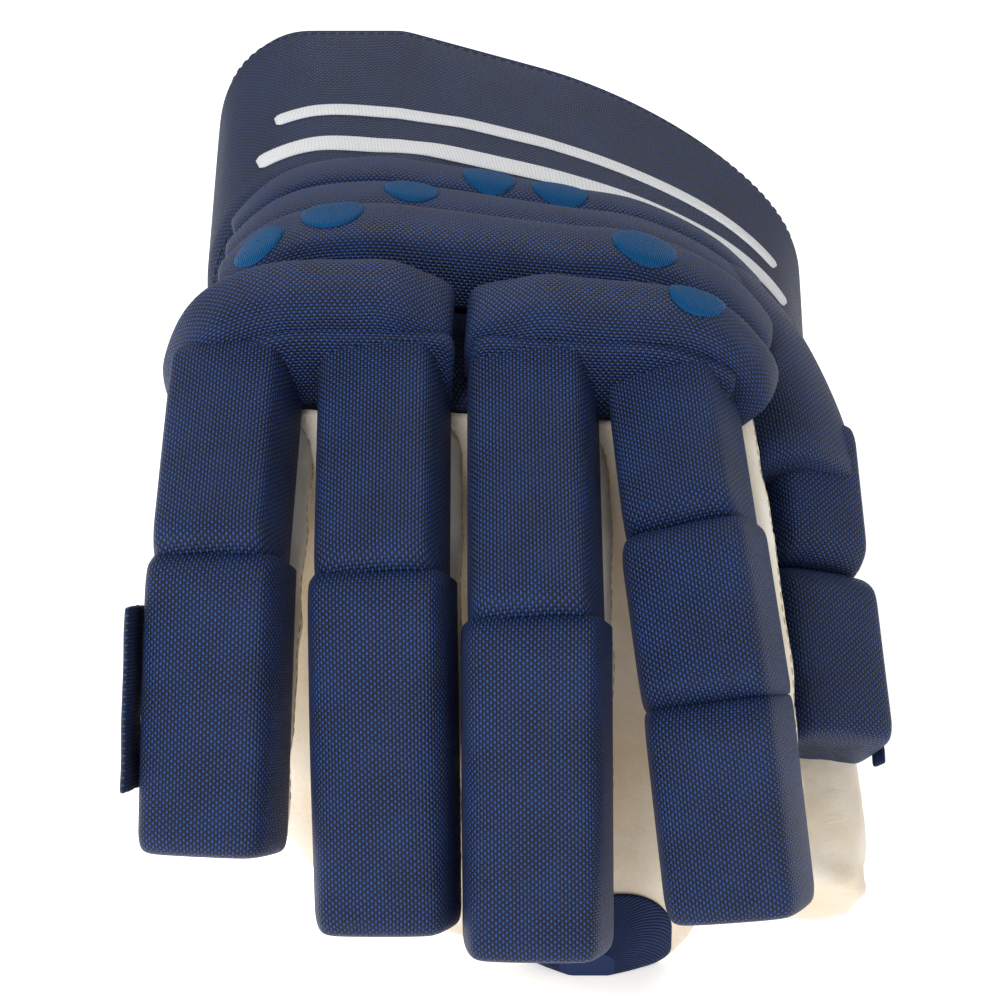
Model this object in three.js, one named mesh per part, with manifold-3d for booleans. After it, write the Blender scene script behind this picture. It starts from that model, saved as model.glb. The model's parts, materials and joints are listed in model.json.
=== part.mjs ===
import * as THREE from "three";
import Module from "manifold-3d";

// Ice hockey glove for the right hand, 14 inch senior size, in millimetres.
// X points to the thumb side, Y to the cuff, Z up. The glove rests on its palm.
// The hand opening faces back and down, and the fingers hang forward.

// Walls and clearances
const SUEDE = 1.8;
const FRONT_SUEDE = 1.6;
const NYLON = 2.4;
const GAP = 0.35;
const STALL_GAP = 0.5;

// How far a flat facet may lie from the curve that it stands for
const SIMPLER = 0.2;

// Seam between two rolls across the hand
const ROLL_SEAM = 0.4;

// Cuff
const CUFF_THICK = 10;
const WING_THICK = 5;

// Sides of a stall's section and of the body's section
const STALL_SIDES = 10;
const BODY_SIDES = 28;

const NAVY = 0x2b3b60;
const NAVY_DARK = 0x1d2946;
const CREAM = 0xe8d8b8;
const OVAL_BLUE = 0x1a5a8a;

const wasm = await Module();
wasm.setup();
const { Manifold, Mesh } = wasm;

const group = new THREE.Group();
group.name = "ice_hockey_glove";

const vec = (x, y, z) => new THREE.Vector3(x, y, z);
const lerp = (a, b, t) => a + (b - a) * t;

// Smooth value through table rows, t from 0 to rows - 1
function along(rows, key, t) {
  const last = rows.length - 1;
  const i = Math.min(Math.max(Math.floor(t), 0), last - 1);
  const u = t - i;
  const at = (k) => rows[Math.min(Math.max(k, 0), last)][key];
  const [a, b, c, d] = [at(i - 1), at(i), at(i + 1), at(i + 2)];
  const cubic = (3 * b - 3 * c + d - a) * u * u * u + (2 * a - 5 * b + 4 * c - d) * u * u;
  return b + 0.5 * (cubic + (c - a) * u);
}

const pointAlong = (rows, t) => vec(along(rows, "x", t), along(rows, "y", t), along(rows, "z", t));

function tangentAlong(rows, t) {
  const ahead = pointAlong(rows, Math.min(t + 0.02, rows.length - 1));
  return ahead.sub(pointAlong(rows, Math.max(t - 0.02, 0))).normalize();
}

// Side and outward directions square to a path, from a rough outward direction
function frameAt(rows, t, rough) {
  const tangent = tangentAlong(rows, t);
  const out = rough.clone().addScaledVector(tangent, -rough.dot(tangent)).normalize();
  return { out, side: vec(0, 0, 0).crossVectors(tangent, out) };
}

// A closed body from rings of equal length; the last ring joins the first where it is a shell
function loft(rings, capped = true) {
  const n = rings[0].length;
  const points = rings.flat();
  const faces = [];
  const spans = capped ? rings.length - 1 : rings.length;
  for (let i = 0; i < spans; i++) {
    const low = i * n;
    const high = ((i + 1) % rings.length) * n;
    for (let j = 0; j < n; j++) {
      const k = (j + 1) % n;
      faces.push([low + j, low + k, high + k], [low + j, high + k, high + j]);
    }
  }
  if (capped) faces.push(...cap(0, n, true), ...cap(points.length - n, n, false));
  return { points, faces };
}

// Zigzag triangles over one ring
function cap(start, n, reverse) {
  const faces = [];
  let low = 0;
  let high = n - 1;
  for (let step = 0; high - low > 1; step++) {
    const next = step % 2 === 0 ? low + 1 : high - 1;
    const face = [start + low, start + next, start + high];
    faces.push(reverse ? face.reverse() : face);
    if (step % 2 === 0) low = next;
    else high = next;
  }
  return faces;
}

// The manifold body of a loft, turned outward
function solid({ points, faces }) {
  let volume = 0;
  for (const [a, b, c] of faces) {
    volume += points[a].dot(vec(0, 0, 0).crossVectors(points[b], points[c]));
  }
  const turned = volume < 0 ? faces.map(([a, b, c]) => [a, c, b]) : faces;
  const mesh = new Mesh({
    numProp: 3,
    vertProperties: new Float32Array(points.flatMap((p) => [p.x, p.y, p.z])),
    triVerts: new Uint32Array(turned.flat()),
  });
  mesh.merge();
  return new Manifold(mesh);
}

// Adds a body as a named mesh, in the places where nothing in cutters fills it
function place(name, body, colour, roughness, cutters = []) {
  let left = body;
  for (const cutter of cutters) left = left.subtract(cutter);
  const parts = left.simplify(SIMPLER).decompose().sort((a, b) => b.volume() - a.volume());
  const mesh = parts[0].getMesh();
  const geometry = new THREE.BufferGeometry();
  const flat = new Float32Array(mesh.numVert * 3);
  for (let i = 0; i < mesh.numVert; i++) {
    for (let k = 0; k < 3; k++) flat[3 * i + k] = mesh.vertProperties[i * mesh.numProp + k];
  }
  geometry.setAttribute("position", new THREE.BufferAttribute(flat, 3));
  geometry.setIndex([...mesh.triVerts]);
  geometry.computeVertexNormals();
  const material = new THREE.MeshStandardMaterial({ color: colour, roughness, metalness: 0 });
  const shown = new THREE.Mesh(geometry, material);
  shown.name = name;
  group.add(shown);
}

// Half a roll's section from its seat to the middle of its face, as shares of width and height
const ROLL_SIDE = [
  { side: 0.98, rise: 0.0 },
  { side: 1.0, rise: 0.3 },
  { side: 0.91, rise: 0.7 },
  { side: 0.74, rise: 0.91 },
  { side: 0.4, rise: 0.99 },
];

// The same for the fuller rolls across the hand
const HAND_ROLL_SIDE = [
  { side: 0.99, rise: 0.0 },
  { side: 1.0, rise: 0.46 },
  { side: 0.95, rise: 0.76 },
  { side: 0.78, rise: 0.94 },
  { side: 0.42, rise: 0.995 },
];

// How a roll's end closes: distance from the end in heights, and the section's share there
const ROLL_END = [
  { inset: 0.0, share: 0.75 },
  { inset: 0.1, share: 0.92 },
  { inset: 0.34, share: 1.0 },
];

// A stuffed roll along its seat line. Rows: x y z, width, height. outAt gives its outward side.
// grow makes the same roll larger all round, which later pieces keep clear of.
function roll(rows, outAt, middles = 3, grow = 0, sideRows = ROLL_SIDE) {
  const last = rows.length - 1;
  let length = 0;
  for (let i = 0; i < 30; i++) {
    const here = pointAlong(rows, (i * last) / 30);
    length += here.distanceTo(pointAlong(rows, ((i + 1) * last) / 30));
  }
  const inset = (share) => (share * rows[0].height * last) / length;
  const stations = ROLL_END.map((e) => ({ t: inset(e.inset), share: e.share }));
  const far = stations.map(({ t, share }) => ({ t: last - t, share })).reverse();
  for (let i = 1; i <= middles; i++) stations.push({ t: (i * last) / (middles + 1), share: 1 });
  const outline = [...sideRows, { side: 0, rise: 1 }];
  for (const row of [...sideRows].reverse()) outline.push({ side: -row.side, rise: row.rise });
  const all = [...stations, ...far];
  const rings = all.map(({ t, share }, i) => {
    const { out, side } = frameAt(rows, t, outAt(t / last));
    const half = (along(rows, "width", t) / 2) * lerp(0.3, 1, share) + grow;
    const height = along(rows, "height", t) * share + 2 * grow;
    const seat = pointAlong(rows, t).addScaledVector(out, -grow);
    const outer = i < ROLL_END.length ? -grow : i >= all.length - ROLL_END.length ? grow : 0;
    seat.addScaledVector(tangentAlong(rows, t), outer);
    return outline.map((row) =>
      seat.clone().addScaledVector(side, row.side * half).addScaledVector(out, row.rise * height),
    );
  });
  return solid(loft(rings));
}

// One ring of a stall: a soft rounded box, thinner inside by the wall
function stallRing(rows, t, outAt, thinner, share) {
  const { out, side } = frameAt(rows, t, outAt);
  const ring = [];
  for (let j = 0; j < STALL_SIDES; j++) {
    const angle = (2 * Math.PI * (j + 0.5)) / STALL_SIDES;
    const [c, s] = [Math.cos(angle), Math.sin(angle)];
    const a = Math.sign(c) * Math.abs(c) ** 0.75 * (along(rows, "wide", t) - thinner) * share;
    const b = Math.sign(s) * Math.abs(s) ** 0.75 * (along(rows, "deep", t) - thinner) * share;
    ring.push(pointAlong(rows, t).addScaledVector(side, a).addScaledVector(out, b));
  }
  return ring;
}

// How a stall's tip closes: distance from the tip in mm, and the section's share there
const STALL_TIP = [
  { inset: 6, share: 1.0 },
  { inset: 2.5, share: 0.93 },
  { inset: 0.7, share: 0.78 },
  { inset: 0, share: 0.55 },
];

// Rings of a stall's face, set in by a depth from its outer face
function stallFace(rows, outAt, depth) {
  const last = rows.length - 1;
  const step = pointAlong(rows, last).distanceTo(pointAlong(rows, last - 1));
  const rings = [];
  for (let i = 0; i < 2 * last - 1; i++) rings.push(stallRing(rows, i / 2, outAt, depth, 1));
  for (const { inset, share } of STALL_TIP) {
    const t = last - (inset + Math.max(depth, 0)) / step;
    rings.push(stallRing(rows, t, outAt, depth, share));
  }
  return rings;
}

// A stall's full form, set in by a depth and drawn out a little at its base
function stallCore(rows, outAt, depth) {
  const rings = stallFace(rows, outAt, depth);
  const back = tangentAlong(rows, 0).multiplyScalar(-2);
  return solid(loft([rings[0].map((p) => p.clone().add(back)), ...rings]));
}

// A hollow stall with a closed tip and an open base. Rows: x y z, wide, deep (half sizes)
function stall(rows, outAt) {
  return solid(loft(stallFace(rows, outAt, 0))).subtract(stallCore(rows, outAt, SUEDE));
}

// The glove's body, row by row from its front tip to the rim of the hand opening. A row is a
// section between its top and bottom points, with its reach to both sides, the size of its
// four corners (up and side above, heel below), and how far its top falls towards the thumb.
const BODY = [
  {
    yTop: -45, zTop: 6, yLow: -45, zLow: 0, left: 15, right: 29,
    upX: 4, upZ: 2.4, sideX: 4, sideZ: 2.4, heelX: 4, heelZ: 2.4, fall: 0,
  },
  {
    yTop: -42, zTop: 13, yLow: -42, zLow: 0, left: 8, right: 37,
    upX: 7, upZ: 5, sideX: 8, sideZ: 6, heelX: 8, heelZ: 5, fall: 0,
  },
  {
    yTop: -38, zTop: 20, yLow: -38, zLow: 0, left: 0, right: 44,
    upX: 10, upZ: 8, sideX: 12, sideZ: 10, heelX: 12, heelZ: 9, fall: 0,
  },
  {
    yTop: -30, zTop: 36, yLow: -30, zLow: 0, left: -26, right: 52,
    upX: 14, upZ: 12, sideX: 18, sideZ: 14, heelX: 32, heelZ: 20, fall: 0,
  },
  {
    yTop: -22, zTop: 58, yLow: -22, zLow: 0, left: -50, right: 57,
    upX: 16, upZ: 18, sideX: 20, sideZ: 20, heelX: 50, heelZ: 34, fall: 0,
  },
  {
    yTop: -12, zTop: 86, yLow: -12, zLow: 0, left: -62, right: 61,
    upX: 18, upZ: 20, sideX: 22, sideZ: 24, heelX: 56, heelZ: 42, fall: 1,
  },
  {
    yTop: -3, zTop: 114, yLow: -3, zLow: 0, left: -66, right: 63,
    upX: 18, upZ: 20, sideX: 24, sideZ: 26, heelX: 56, heelZ: 44, fall: 3,
  },
  {
    yTop: 4, zTop: 136, yLow: 4, zLow: 0, left: -69, right: 64,
    upX: 20, upZ: 22, sideX: 26, sideZ: 28, heelX: 52, heelZ: 44, fall: 6,
  },
  {
    yTop: 16, zTop: 149.5, yLow: 15, zLow: 0, left: -71, right: 65,
    upX: 22, upZ: 22, sideX: 30, sideZ: 29, heelX: 44, heelZ: 42, fall: 10,
  },
  {
    yTop: 44, zTop: 157, yLow: 36, zLow: 0, left: -72, right: 69,
    upX: 23, upZ: 23, sideX: 34, sideZ: 30, heelX: 32, heelZ: 36, fall: 12,
  },
  {
    yTop: 72, zTop: 158.5, yLow: 52, zLow: 0, left: -73, right: 73,
    upX: 24, upZ: 24, sideX: 38, sideZ: 32, heelX: 27, heelZ: 30, fall: 15,
  },
  {
    yTop: 100, zTop: 159.5, yLow: 68, zLow: 0, left: -74, right: 77,
    upX: 25, upZ: 25, sideX: 42, sideZ: 35, heelX: 26, heelZ: 26, fall: 18,
  },
  {
    yTop: 118, zTop: 161.5, yLow: 80, zLow: 0, left: -75, right: 79,
    upX: 25, upZ: 25, sideX: 48, sideZ: 38, heelX: 26, heelZ: 26, fall: 20,
  },
  {
    yTop: 160, zTop: 175, yLow: 94, zLow: 0, left: -76, right: 81,
    upX: 21, upZ: 21, sideX: 60, sideZ: 42, heelX: 26, heelZ: 26, fall: 23,
  },
  {
    yTop: 203, zTop: 190, yLow: 106, zLow: 0, left: -77, right: 84,
    upX: 17, upZ: 17, sideX: 72, sideZ: 46, heelX: 26, heelZ: 26, fall: 26,
  },
];

// The palm's corner on the thumb side, as a share of the one under the little finger
const HEEL_SHARE = 0.5;

// A quarter of a rounded box, from its side (share 0) to its top (share 1)
function quarter(share, rx, rz, flatX, flatZ) {
  const arc = (Math.PI / 2) * Math.sqrt((rx * rx + rz * rz) / 2);
  const at = share * (flatX + arc + flatZ);
  if (at < flatZ) return { x: flatX + rx, z: at };
  if (at > flatZ + arc) return { x: flatX + arc + flatZ - at, z: flatZ + rz };
  const angle = ((at - flatZ) / arc) * (Math.PI / 2);
  return { x: flatX + rx * Math.cos(angle), z: flatZ + rz * Math.sin(angle) };
}

// A point at a depth under the body's face. s runs along the rows; around runs from the thumb
// side (0) over the back (0.25) and the little finger's side (0.5) to the palm (0.75).
function bodyPoint(s, around, depth) {
  const g = (key) => along(BODY, key, s);
  const tall = Math.hypot(g("yTop") - g("yLow"), g("zTop") - g("zLow"));
  const corner = Math.floor((((around % 1) + 1) % 1) * 4);
  const part = (((around % 1) + 1) % 1) * 4 - corner;
  const upper = corner < 2;
  const right = corner === 0 || corner === 3;
  const halfX = (g("right") - g("left")) / 2 - depth;
  const halfZ = tall / 2 - depth;
  const wide = upper ? g(right ? "sideX" : "upX") : g("heelX") * (right ? HEEL_SHARE : 1);
  const high = upper ? g(right ? "sideZ" : "upZ") : g("heelZ") * (right ? HEEL_SHARE : 1);
  const rx = Math.min(Math.max(wide - depth, 0.5), halfX);
  const rz = Math.min(Math.max(high - depth, 0.5), halfZ);
  const walk = quarter(corner % 2 === 0 ? part : 1 - part, rx, rz, halfX - rx, halfZ - rz);
  const x = (g("left") + g("right")) / 2 + (right ? walk.x : -walk.x);
  const h = (tall / 2 + (upper ? walk.z : -walk.z)) / tall;
  const fallen = g("fall") * Math.max(x + 30, 0) * 0.01 * Math.max(h, 0) ** 2;
  return vec(x, lerp(g("yLow"), g("yTop"), h), lerp(g("zLow"), g("zTop"), h) - fallen);
}

// The body's outward direction at a place
function bodyOut(s, around) {
  const ahead = bodyPoint(s + 0.1, around, 0).sub(bodyPoint(s - 0.1, around, 0));
  const across = bodyPoint(s, around + 0.008, 0).sub(bodyPoint(s, around - 0.008, 0));
  return vec(0, 0, 0).crossVectors(ahead, across).normalize();
}

const spread = (from, to, count) =>
  Array.from({ length: count + 1 }, (_, i) => lerp(from, to, i / count));

// A full ring of the body, for hulls and closed walls
function bodyRing(s, depth) {
  return spread(0, 1, BODY_SIDES).slice(0, -1).map((around) => bodyPoint(s, around, depth));
}

// A closed wall round the body between two rows, its front closed where asked
function bodyWall(rows, outer, inner, closedFront) {
  const skin = rows.map((s) => bodyRing(s, outer));
  const lining = rows.map((s, i) => bodyRing(closedFront && i === 0 ? s + closedFront : s, inner));
  if (!closedFront) return solid(loft([...skin, ...lining.reverse()], false));
  const last = rows[rows.length - 1];
  const cut = solid(loft([...lining, bodyRing(last + 0.3, inner)]));
  return solid(loft(skin)).subtract(cut);
}

// A sheet on the body between two rows and two places around it
function bodySheet(rows, arounds, outer, inner) {
  const rings = rows.map((s) => [
    ...arounds.map((around) => bodyPoint(s, around, outer)),
    ...[...arounds].reverse().map((around) => bodyPoint(s, around, inner)),
  ]);
  const n = rings[0].length;
  const { points, faces } = loft(rings, true);
  const walls = faces.slice(0, 2 * n * (rings.length - 1));
  for (const start of [0, points.length - n]) {
    for (let j = 0; j < arounds.length - 1; j++) {
      const [a, b] = [start + j, start + j + 1];
      const [c, d] = [start + n - 2 - j, start + n - 1 - j];
      const quad = [[a, b, c], [a, c, d]];
      walls.push(...quad.map((face) => (start === 0 ? [...face].reverse() : face)));
    }
  }
  return solid({ points, faces: walls });
}

// Fingers. Seat lines of the rolls: knuckle, joints and tip, on the outer face of the stall.
const FINGERS = {
  pinky: [
    { x: -66, y: 13, z: 140, wide: 17, deep: 10 },
    { x: -67.5, y: -32, z: 105, wide: 16.5, deep: 9.5 },
    { x: -69.5, y: -56, z: 41, wide: 14.5, deep: 8.5 },
  ],
  ring: [
    { x: -29, y: 15, z: 142, wide: 17.5, deep: 10 },
    { x: -28.5, y: -34.5, z: 102, wide: 17, deep: 9.5 },
    { x: -27, y: -61, z: 23, wide: 15.5, deep: 8.5 },
  ],
  middle: [
    { x: 8.5, y: 15, z: 140.5, wide: 17.5, deep: 10 },
    { x: 9, y: -42, z: 93.5, wide: 17, deep: 9.5 },
    { x: 9.5, y: -66, z: 19, wide: 16, deep: 8.5 },
  ],
  index: [
    { x: 45, y: 13.5, z: 134.5, wide: 17, deep: 10 },
    { x: 48.5, y: -22, z: 108, wide: 17, deep: 9.5 },
    { x: 53.5, y: -45, z: 75.5, wide: 16.5, deep: 9 },
    { x: 59.5, y: -60, z: 27, wide: 15, deep: 8.5 },
  ],
};
const FINGER_TURN = { pinky: -0.16, ring: -0.11, middle: -0.1, index: -0.24 };
const fingerOut = (name) => vec(FINGER_TURN[name], -1, 0.35);

// How far a stall's base reaches behind its first seat row
const MOUTH_LEAD = 6;

// The stall's centre line lies under the seat by its own half depth
function stallRows(name) {
  const seat = FINGERS[name];
  const last = seat.length - 1;
  const rows = seat.map((row, i) => {
    const { out } = frameAt(seat, i, fingerOut(name));
    const centre = vec(row.x, row.y, row.z).addScaledVector(out, -(row.deep + 0.9));
    return { x: centre.x, y: centre.y, z: centre.z, wide: row.wide, deep: row.deep };
  });
  const lead = tangentAlong(seat, 0).multiplyScalar(-MOUTH_LEAD);
  const base = rows[0];
  const start = {
    x: base.x + lead.x,
    y: base.y + lead.y,
    z: base.z + lead.z,
    wide: base.wide * 0.9,
    deep: base.deep,
  };
  const end = rows[last];
  rows[last] = { ...end, z: end.z + 1.5 };
  return [start, ...rows];
}

const THUMB = [
  { x: 46, y: 64, z: 92, wide: 17, deep: 18 },
  { x: 65, y: 35, z: 70, wide: 17, deep: 18 },
  { x: 73, y: 8, z: 46, wide: 17.5, deep: 18 },
  { x: 77, y: -14, z: 25, wide: 17.5, deep: 17 },
  { x: 77.5, y: -30, z: 12.5, wide: 17, deep: 14 },
];
const thumbOut = vec(0.35, -0.75, 0.7);

const bodyHull = solid(loft(spread(0, 14, 14).map((s) => bodyRing(s, -GAP))));
const fingerHulls = Object.keys(FINGERS).map((name) => stallCore(stallRows(name), fingerOut(name), -STALL_GAP));
const thumbHull = stallCore(THUMB, thumbOut, -STALL_GAP);
const stallHulls = [...fingerHulls, thumbHull];

// Walls of the hand cavity, on the same lattice as the hull. SEAM is the row where the front
// wall meets the back and the palm.
const SEAM = 7;
const SEAM_GAP = 0.04;
const latticeRows = [SEAM + SEAM_GAP, ...spread(SEAM + 1, 14, 6)];
const latticeAround = (from, to) => {
  const inside = spread(0, 1, BODY_SIDES).filter((a) => a > from + 0.01 && a < to - 0.01);
  return [from, ...inside, to];
};
place("palm_heel_band", bodyWall([0, 1, 1.97], 0, SUEDE, 0.6), NAVY_DARK, 0.8);
place("palm_front_wall", bodyWall(spread(2, SEAM, 5), 0, FRONT_SUEDE, 0), CREAM, 0.9, stallHulls);
const palmSheet = bodySheet(latticeRows, latticeAround(0.502, 0.998), 0, SUEDE);
place("palm_panel", palmSheet, CREAM, 0.9, stallHulls);
const backSheet = bodySheet(latticeRows, latticeAround(0, 0.5), 0, NYLON);
place("back_panel", backSheet, NAVY, 0.88, stallHulls);

// Stalls of the fingers and the thumb
for (const name of Object.keys(FINGERS)) {
  place(`${name}_sleeve`, stall(stallRows(name), fingerOut(name)), CREAM, 0.9, [bodyHull]);
}
place("thumb_sleeve", stall(THUMB, thumbOut), CREAM, 0.9, [bodyHull]);

// Rolls across the hand, each between two rows of the body, from the thumb side to the other
const HAND_ROLLS = [
  { name: "roll_4_right", front: 7.45, back: 8.5, from: 0.12, to: 0.262, height: 23 },
  { name: "roll_4_left", front: 7.45, back: 8.5, from: 0.268, to: 0.395, height: 23 },
  { name: "roll_3", front: 8.5, back: 9.5, from: 0.122, to: 0.374, height: 20 },
  { name: "roll_2", front: 9.5, back: 10.5, from: 0.125, to: 0.376, height: 18 },
  { name: "roll_1", front: 10.5, back: 11.72, from: 0.128, to: 0.378, height: 17 },
];
const ROLL_STEPS = 8;
const handRolls = {};
const taken = [];
for (const { name, front, back, from, to, height } of HAND_ROLLS) {
  const middle = (front + back) / 2;
  const rows = spread(from, to, ROLL_STEPS).map((around, i) => {
    const seat = bodyPoint(middle, around, -0.1);
    const span = bodyPoint(front, around, 0).distanceTo(bodyPoint(back, around, 0));
    const nearEnd = Math.min(i / 2, (ROLL_STEPS - i) / 2, 1);
    const full = height * lerp(0.7, 1, nearEnd);
    return { x: seat.x, y: seat.y, z: seat.z, width: span - ROLL_SEAM, height: full };
  });
  const outAt = (share) => bodyOut(middle, lerp(from, to, share));
  const grown = (grow) => roll(rows, outAt, 6, grow, HAND_ROLL_SIDE);
  handRolls[name] = { rows, outAt, grown };
  place(name, grown(0), NAVY, 0.85, [bodyHull, ...stallHulls, ...taken]);
  taken.push(grown(GAP));
}

// Thin upright strips along the foot of the fourth roll
const STRIPS = [
  { name: "knuckle_strip_right", from: 0.135, to: 0.261 },
  { name: "knuckle_strip_left", from: 0.269, to: 0.38 },
];
const STRIP_ROW = 7.1;
const STRIP_OUT = vec(0.12, -0.3, 1);
for (const { name, from, to } of STRIPS) {
  const rows = spread(from, to, 4).map((around) => {
    const seat = bodyPoint(STRIP_ROW, around, 0);
    return { x: seat.x, y: seat.y, z: seat.z, width: 6, height: 21 };
  });
  const outAt = () => STRIP_OUT.clone();
  place(name, roll(rows, outAt, 3), NAVY, 0.85, [bodyHull, ...stallHulls, ...taken]);
  taken.push(roll(rows, outAt, 3, GAP));
}

// Cuff: a pad over the wrist, a wing on each side and tape along the rim
const CUFF_FRONT = 11.78;
const RIM_FROM = 13.86;
const cuffRows = [CUFF_FRONT, 12, 13, RIM_FROM - 0.02];
const CUFF_PARTS = [
  { name: "cuff_pad", from: 0.018, to: 0.468, thick: CUFF_THICK },
  { name: "ulnar_wing", from: 0.472, to: 0.58, thick: WING_THICK },
  { name: "radial_wing", from: -0.1, to: 0.014, thick: WING_THICK },
];
for (const { name, from, to, thick } of CUFF_PARTS) {
  const inside = spread(-1, 1, 2 * BODY_SIDES).filter((a) => a > from + 0.01 && a < to - 0.01);
  const sheet = bodySheet(cuffRows, [from, ...inside, to], -thick, -GAP);
  place(name, sheet, NAVY, 0.88, [bodyHull, ...stallHulls, ...taken]);
}
const rimInside = spread(-1, 1, 2 * BODY_SIDES).filter((a) => a > -0.09 && a < 0.57);
const rimAround = [-0.1, ...rimInside, 0.58];
const binding = bodySheet([RIM_FROM, 14], rimAround, -WING_THICK - 1, -GAP);
place("cuff_binding", binding, NAVY_DARK, 0.7, [bodyHull]);

// Finger and thumb rolls: segments along a seat line, meeting at mitred joints
const THUMB_SEAT = [
  { x: 75, y: 46, z: 112 },
  { x: 77, y: 17, z: 81 },
  { x: 80, y: -15, z: 46 },
];
const DIGIT_ROLLS = [
  { digit: "pinky", base: 36, tip: 35, height: 21, parts: ["proximal", "distal"] },
  { digit: "ring", base: 36.5, tip: 35, height: 21, parts: ["proximal", "distal"] },
  { digit: "middle", base: 36, tip: 36, height: 21, parts: ["proximal", "distal"] },
  { digit: "index", base: 35, tip: 36, height: 21, parts: ["proximal", "middle", "distal"] },
  { digit: "thumb", base: 33, tip: 33, height: 21, parts: ["proximal", "distal"] },
];
const thumbRollOut = vec(0.5, -0.7, 0.55);
for (const { digit, base, tip, height, parts } of DIGIT_ROLLS) {
  const seat = digit === "thumb" ? THUMB_SEAT : FINGERS[digit];
  const out = digit === "thumb" ? thumbRollOut : fingerOut(digit);
  const at = (i) => vec(seat[i].x, seat[i].y, seat[i].z);
  parts.forEach((part, i) => {
    const [start, end] = [at(i), at(i + 1)];
    const along1 = end.clone().sub(start).normalize();
    const turnIn = i > 0 ? start.clone().sub(at(i - 1)).normalize() : null;
    const turnOut = i < parts.length - 1 ? at(i + 2).sub(end).normalize() : null;
    const reach = (other) => (other ? height * Math.tan(along1.angleTo(other) / 2) + 0.4 : 0);
    const head = start.clone().addScaledVector(along1, -reach(turnIn));
    const tail = end.clone().addScaledVector(along1, reach(turnOut));
    const rows = [0, 0.5, 1].map((share) => {
      const p = head.clone().lerp(tail, share);
      const width = lerp(base, tip, (i + share) / parts.length);
      return { x: p.x, y: p.y, z: p.z, width, height };
    });
    const mitred = (body, gap) => {
      let left = body;
      if (turnIn) {
        const normal = along1.clone().add(turnIn).normalize();
        left = left.trimByPlane(normal.toArray(), normal.dot(start) + gap);
      }
      if (turnOut) {
        const normal = along1.clone().add(turnOut).normalize().negate();
        left = left.trimByPlane(normal.toArray(), normal.dot(end) + gap);
      }
      return left;
    };
    const outAt = () => out.clone();
    const cutters = [bodyHull, ...stallHulls, ...taken];
    place(`${digit}_${part}_roll`, mitred(roll(rows, outAt, 1), GAP / 2), NAVY, 0.85, cutters);
    taken.push(mitred(roll(rows, outAt, 1, GAP), -GAP / 4));
  });
}

// Padded roll from the edge of the hand down to the thumb
const RADIAL_ROLL = [
  { x: 58, y: 84, z: 141, width: 28, height: 14 },
  { x: 65, y: 62, z: 130, width: 34, height: 18 },
  { x: 70, y: 40, z: 115, width: 38, height: 21 },
  { x: 73, y: 25, z: 103, width: 40, height: 20 },
];
const radialOut = () => vec(0.75, -0.25, 0.6);
const clearOf = [bodyHull, ...stallHulls, ...taken];
place("radial_side_roll", roll(RADIAL_ROLL, radialOut, 3), NAVY, 0.85, clearOf);

// Thin flaps of bare nylon beside the little finger and the thumb, and a short tape tab
const thumbFrame = frameAt(THUMB_SEAT, 1.5, thumbRollOut);
function besideThumb(t, aside, forward) {
  const seat = pointAlong(THUMB_SEAT, t).addScaledVector(thumbFrame.side, aside);
  return seat.addScaledVector(thumbFrame.out, forward);
}
const THUMB_HALF = 33 / 2;
const FLAPS = [
  {
    name: "pinky_side_flap",
    ends: [vec(-86, -47, 102), vec(-87.4, -62, 60)],
    out: vec(-1, 0.15, 0),
    width: 15,
    height: 3.2,
  },
  {
    name: "thumb_side_flap",
    ends: [besideThumb(0.8, THUMB_HALF - 1, 9), besideThumb(2, THUMB_HALF - 1, 9)],
    out: thumbFrame.side.clone(),
    width: 15,
    height: 3.6,
  },
  {
    name: "thumb_tape_tab",
    ends: [besideThumb(1.8, 1.5 - THUMB_HALF, 7), besideThumb(2.1, 1.5 - THUMB_HALF, 7)],
    out: thumbFrame.side.clone().negate(),
    width: 5,
    height: 3.4,
  },
];
for (const { name, ends, out, width, height } of FLAPS) {
  const rows = ends.map((p) => ({ x: p.x, y: p.y, z: p.z, width, height }));
  const cutters = [bodyHull, ...stallHulls, ...taken];
  place(name, roll(rows, () => out.clone(), 0), NAVY_DARK, 0.9, cutters);
  taken.push(roll(rows, () => out.clone(), 0, GAP));
}

// Oval patches on the rolls: a thin layer over the roll's face inside an upright elliptical prism
const PATCH_THICK = 0.9;
const OVALS = [
  { on: "roll_3", x: -65, y: 36, z: 166, long: 14, wide: 18, turn: 0.25 },
  { on: "roll_3", x: -44, y: 44, z: 176, long: 16.5, wide: 19, turn: 0.1 },
  { on: "roll_2", x: -24, y: 71, z: 176, long: 15, wide: 17, turn: 0 },
  { on: "roll_1", x: -3, y: 100, z: 175, long: 15, wide: 17, turn: -0.1 },
  { on: "roll_1", x: 17, y: 99, z: 170, long: 16, wide: 14.5, turn: -0.2 },
  { on: "roll_3", x: 38, y: 40, z: 166, long: 17.5, wide: 19, turn: -0.2 },
  { on: "roll_4_right", x: 50, y: 12, z: 159, long: 14, wide: 18, turn: -0.4 },
];
OVALS.forEach(({ on, x, y, z, long, wide, turn }, i) => {
  const ring = (height) =>
    spread(0, 2 * Math.PI, 14).slice(0, -1).map((angle) => {
      const [a, b] = [(long / 2) * Math.cos(angle), (wide / 2) * Math.sin(angle)];
      const [c, s] = [Math.cos(turn), Math.sin(turn)];
      return vec(x + a * c - b * s, y + a * s + b * c, z + height);
    });
  const prism = solid(loft([ring(-9), ring(12)]));
  const { grown } = handRolls[on];
  const layer = grown(GAP + PATCH_THICK).subtract(grown(GAP));
  place(`oval_patch_${i + 1}`, layer.intersect(prism), OVAL_BLUE, 0.95, [bodyHull]);
});

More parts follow.
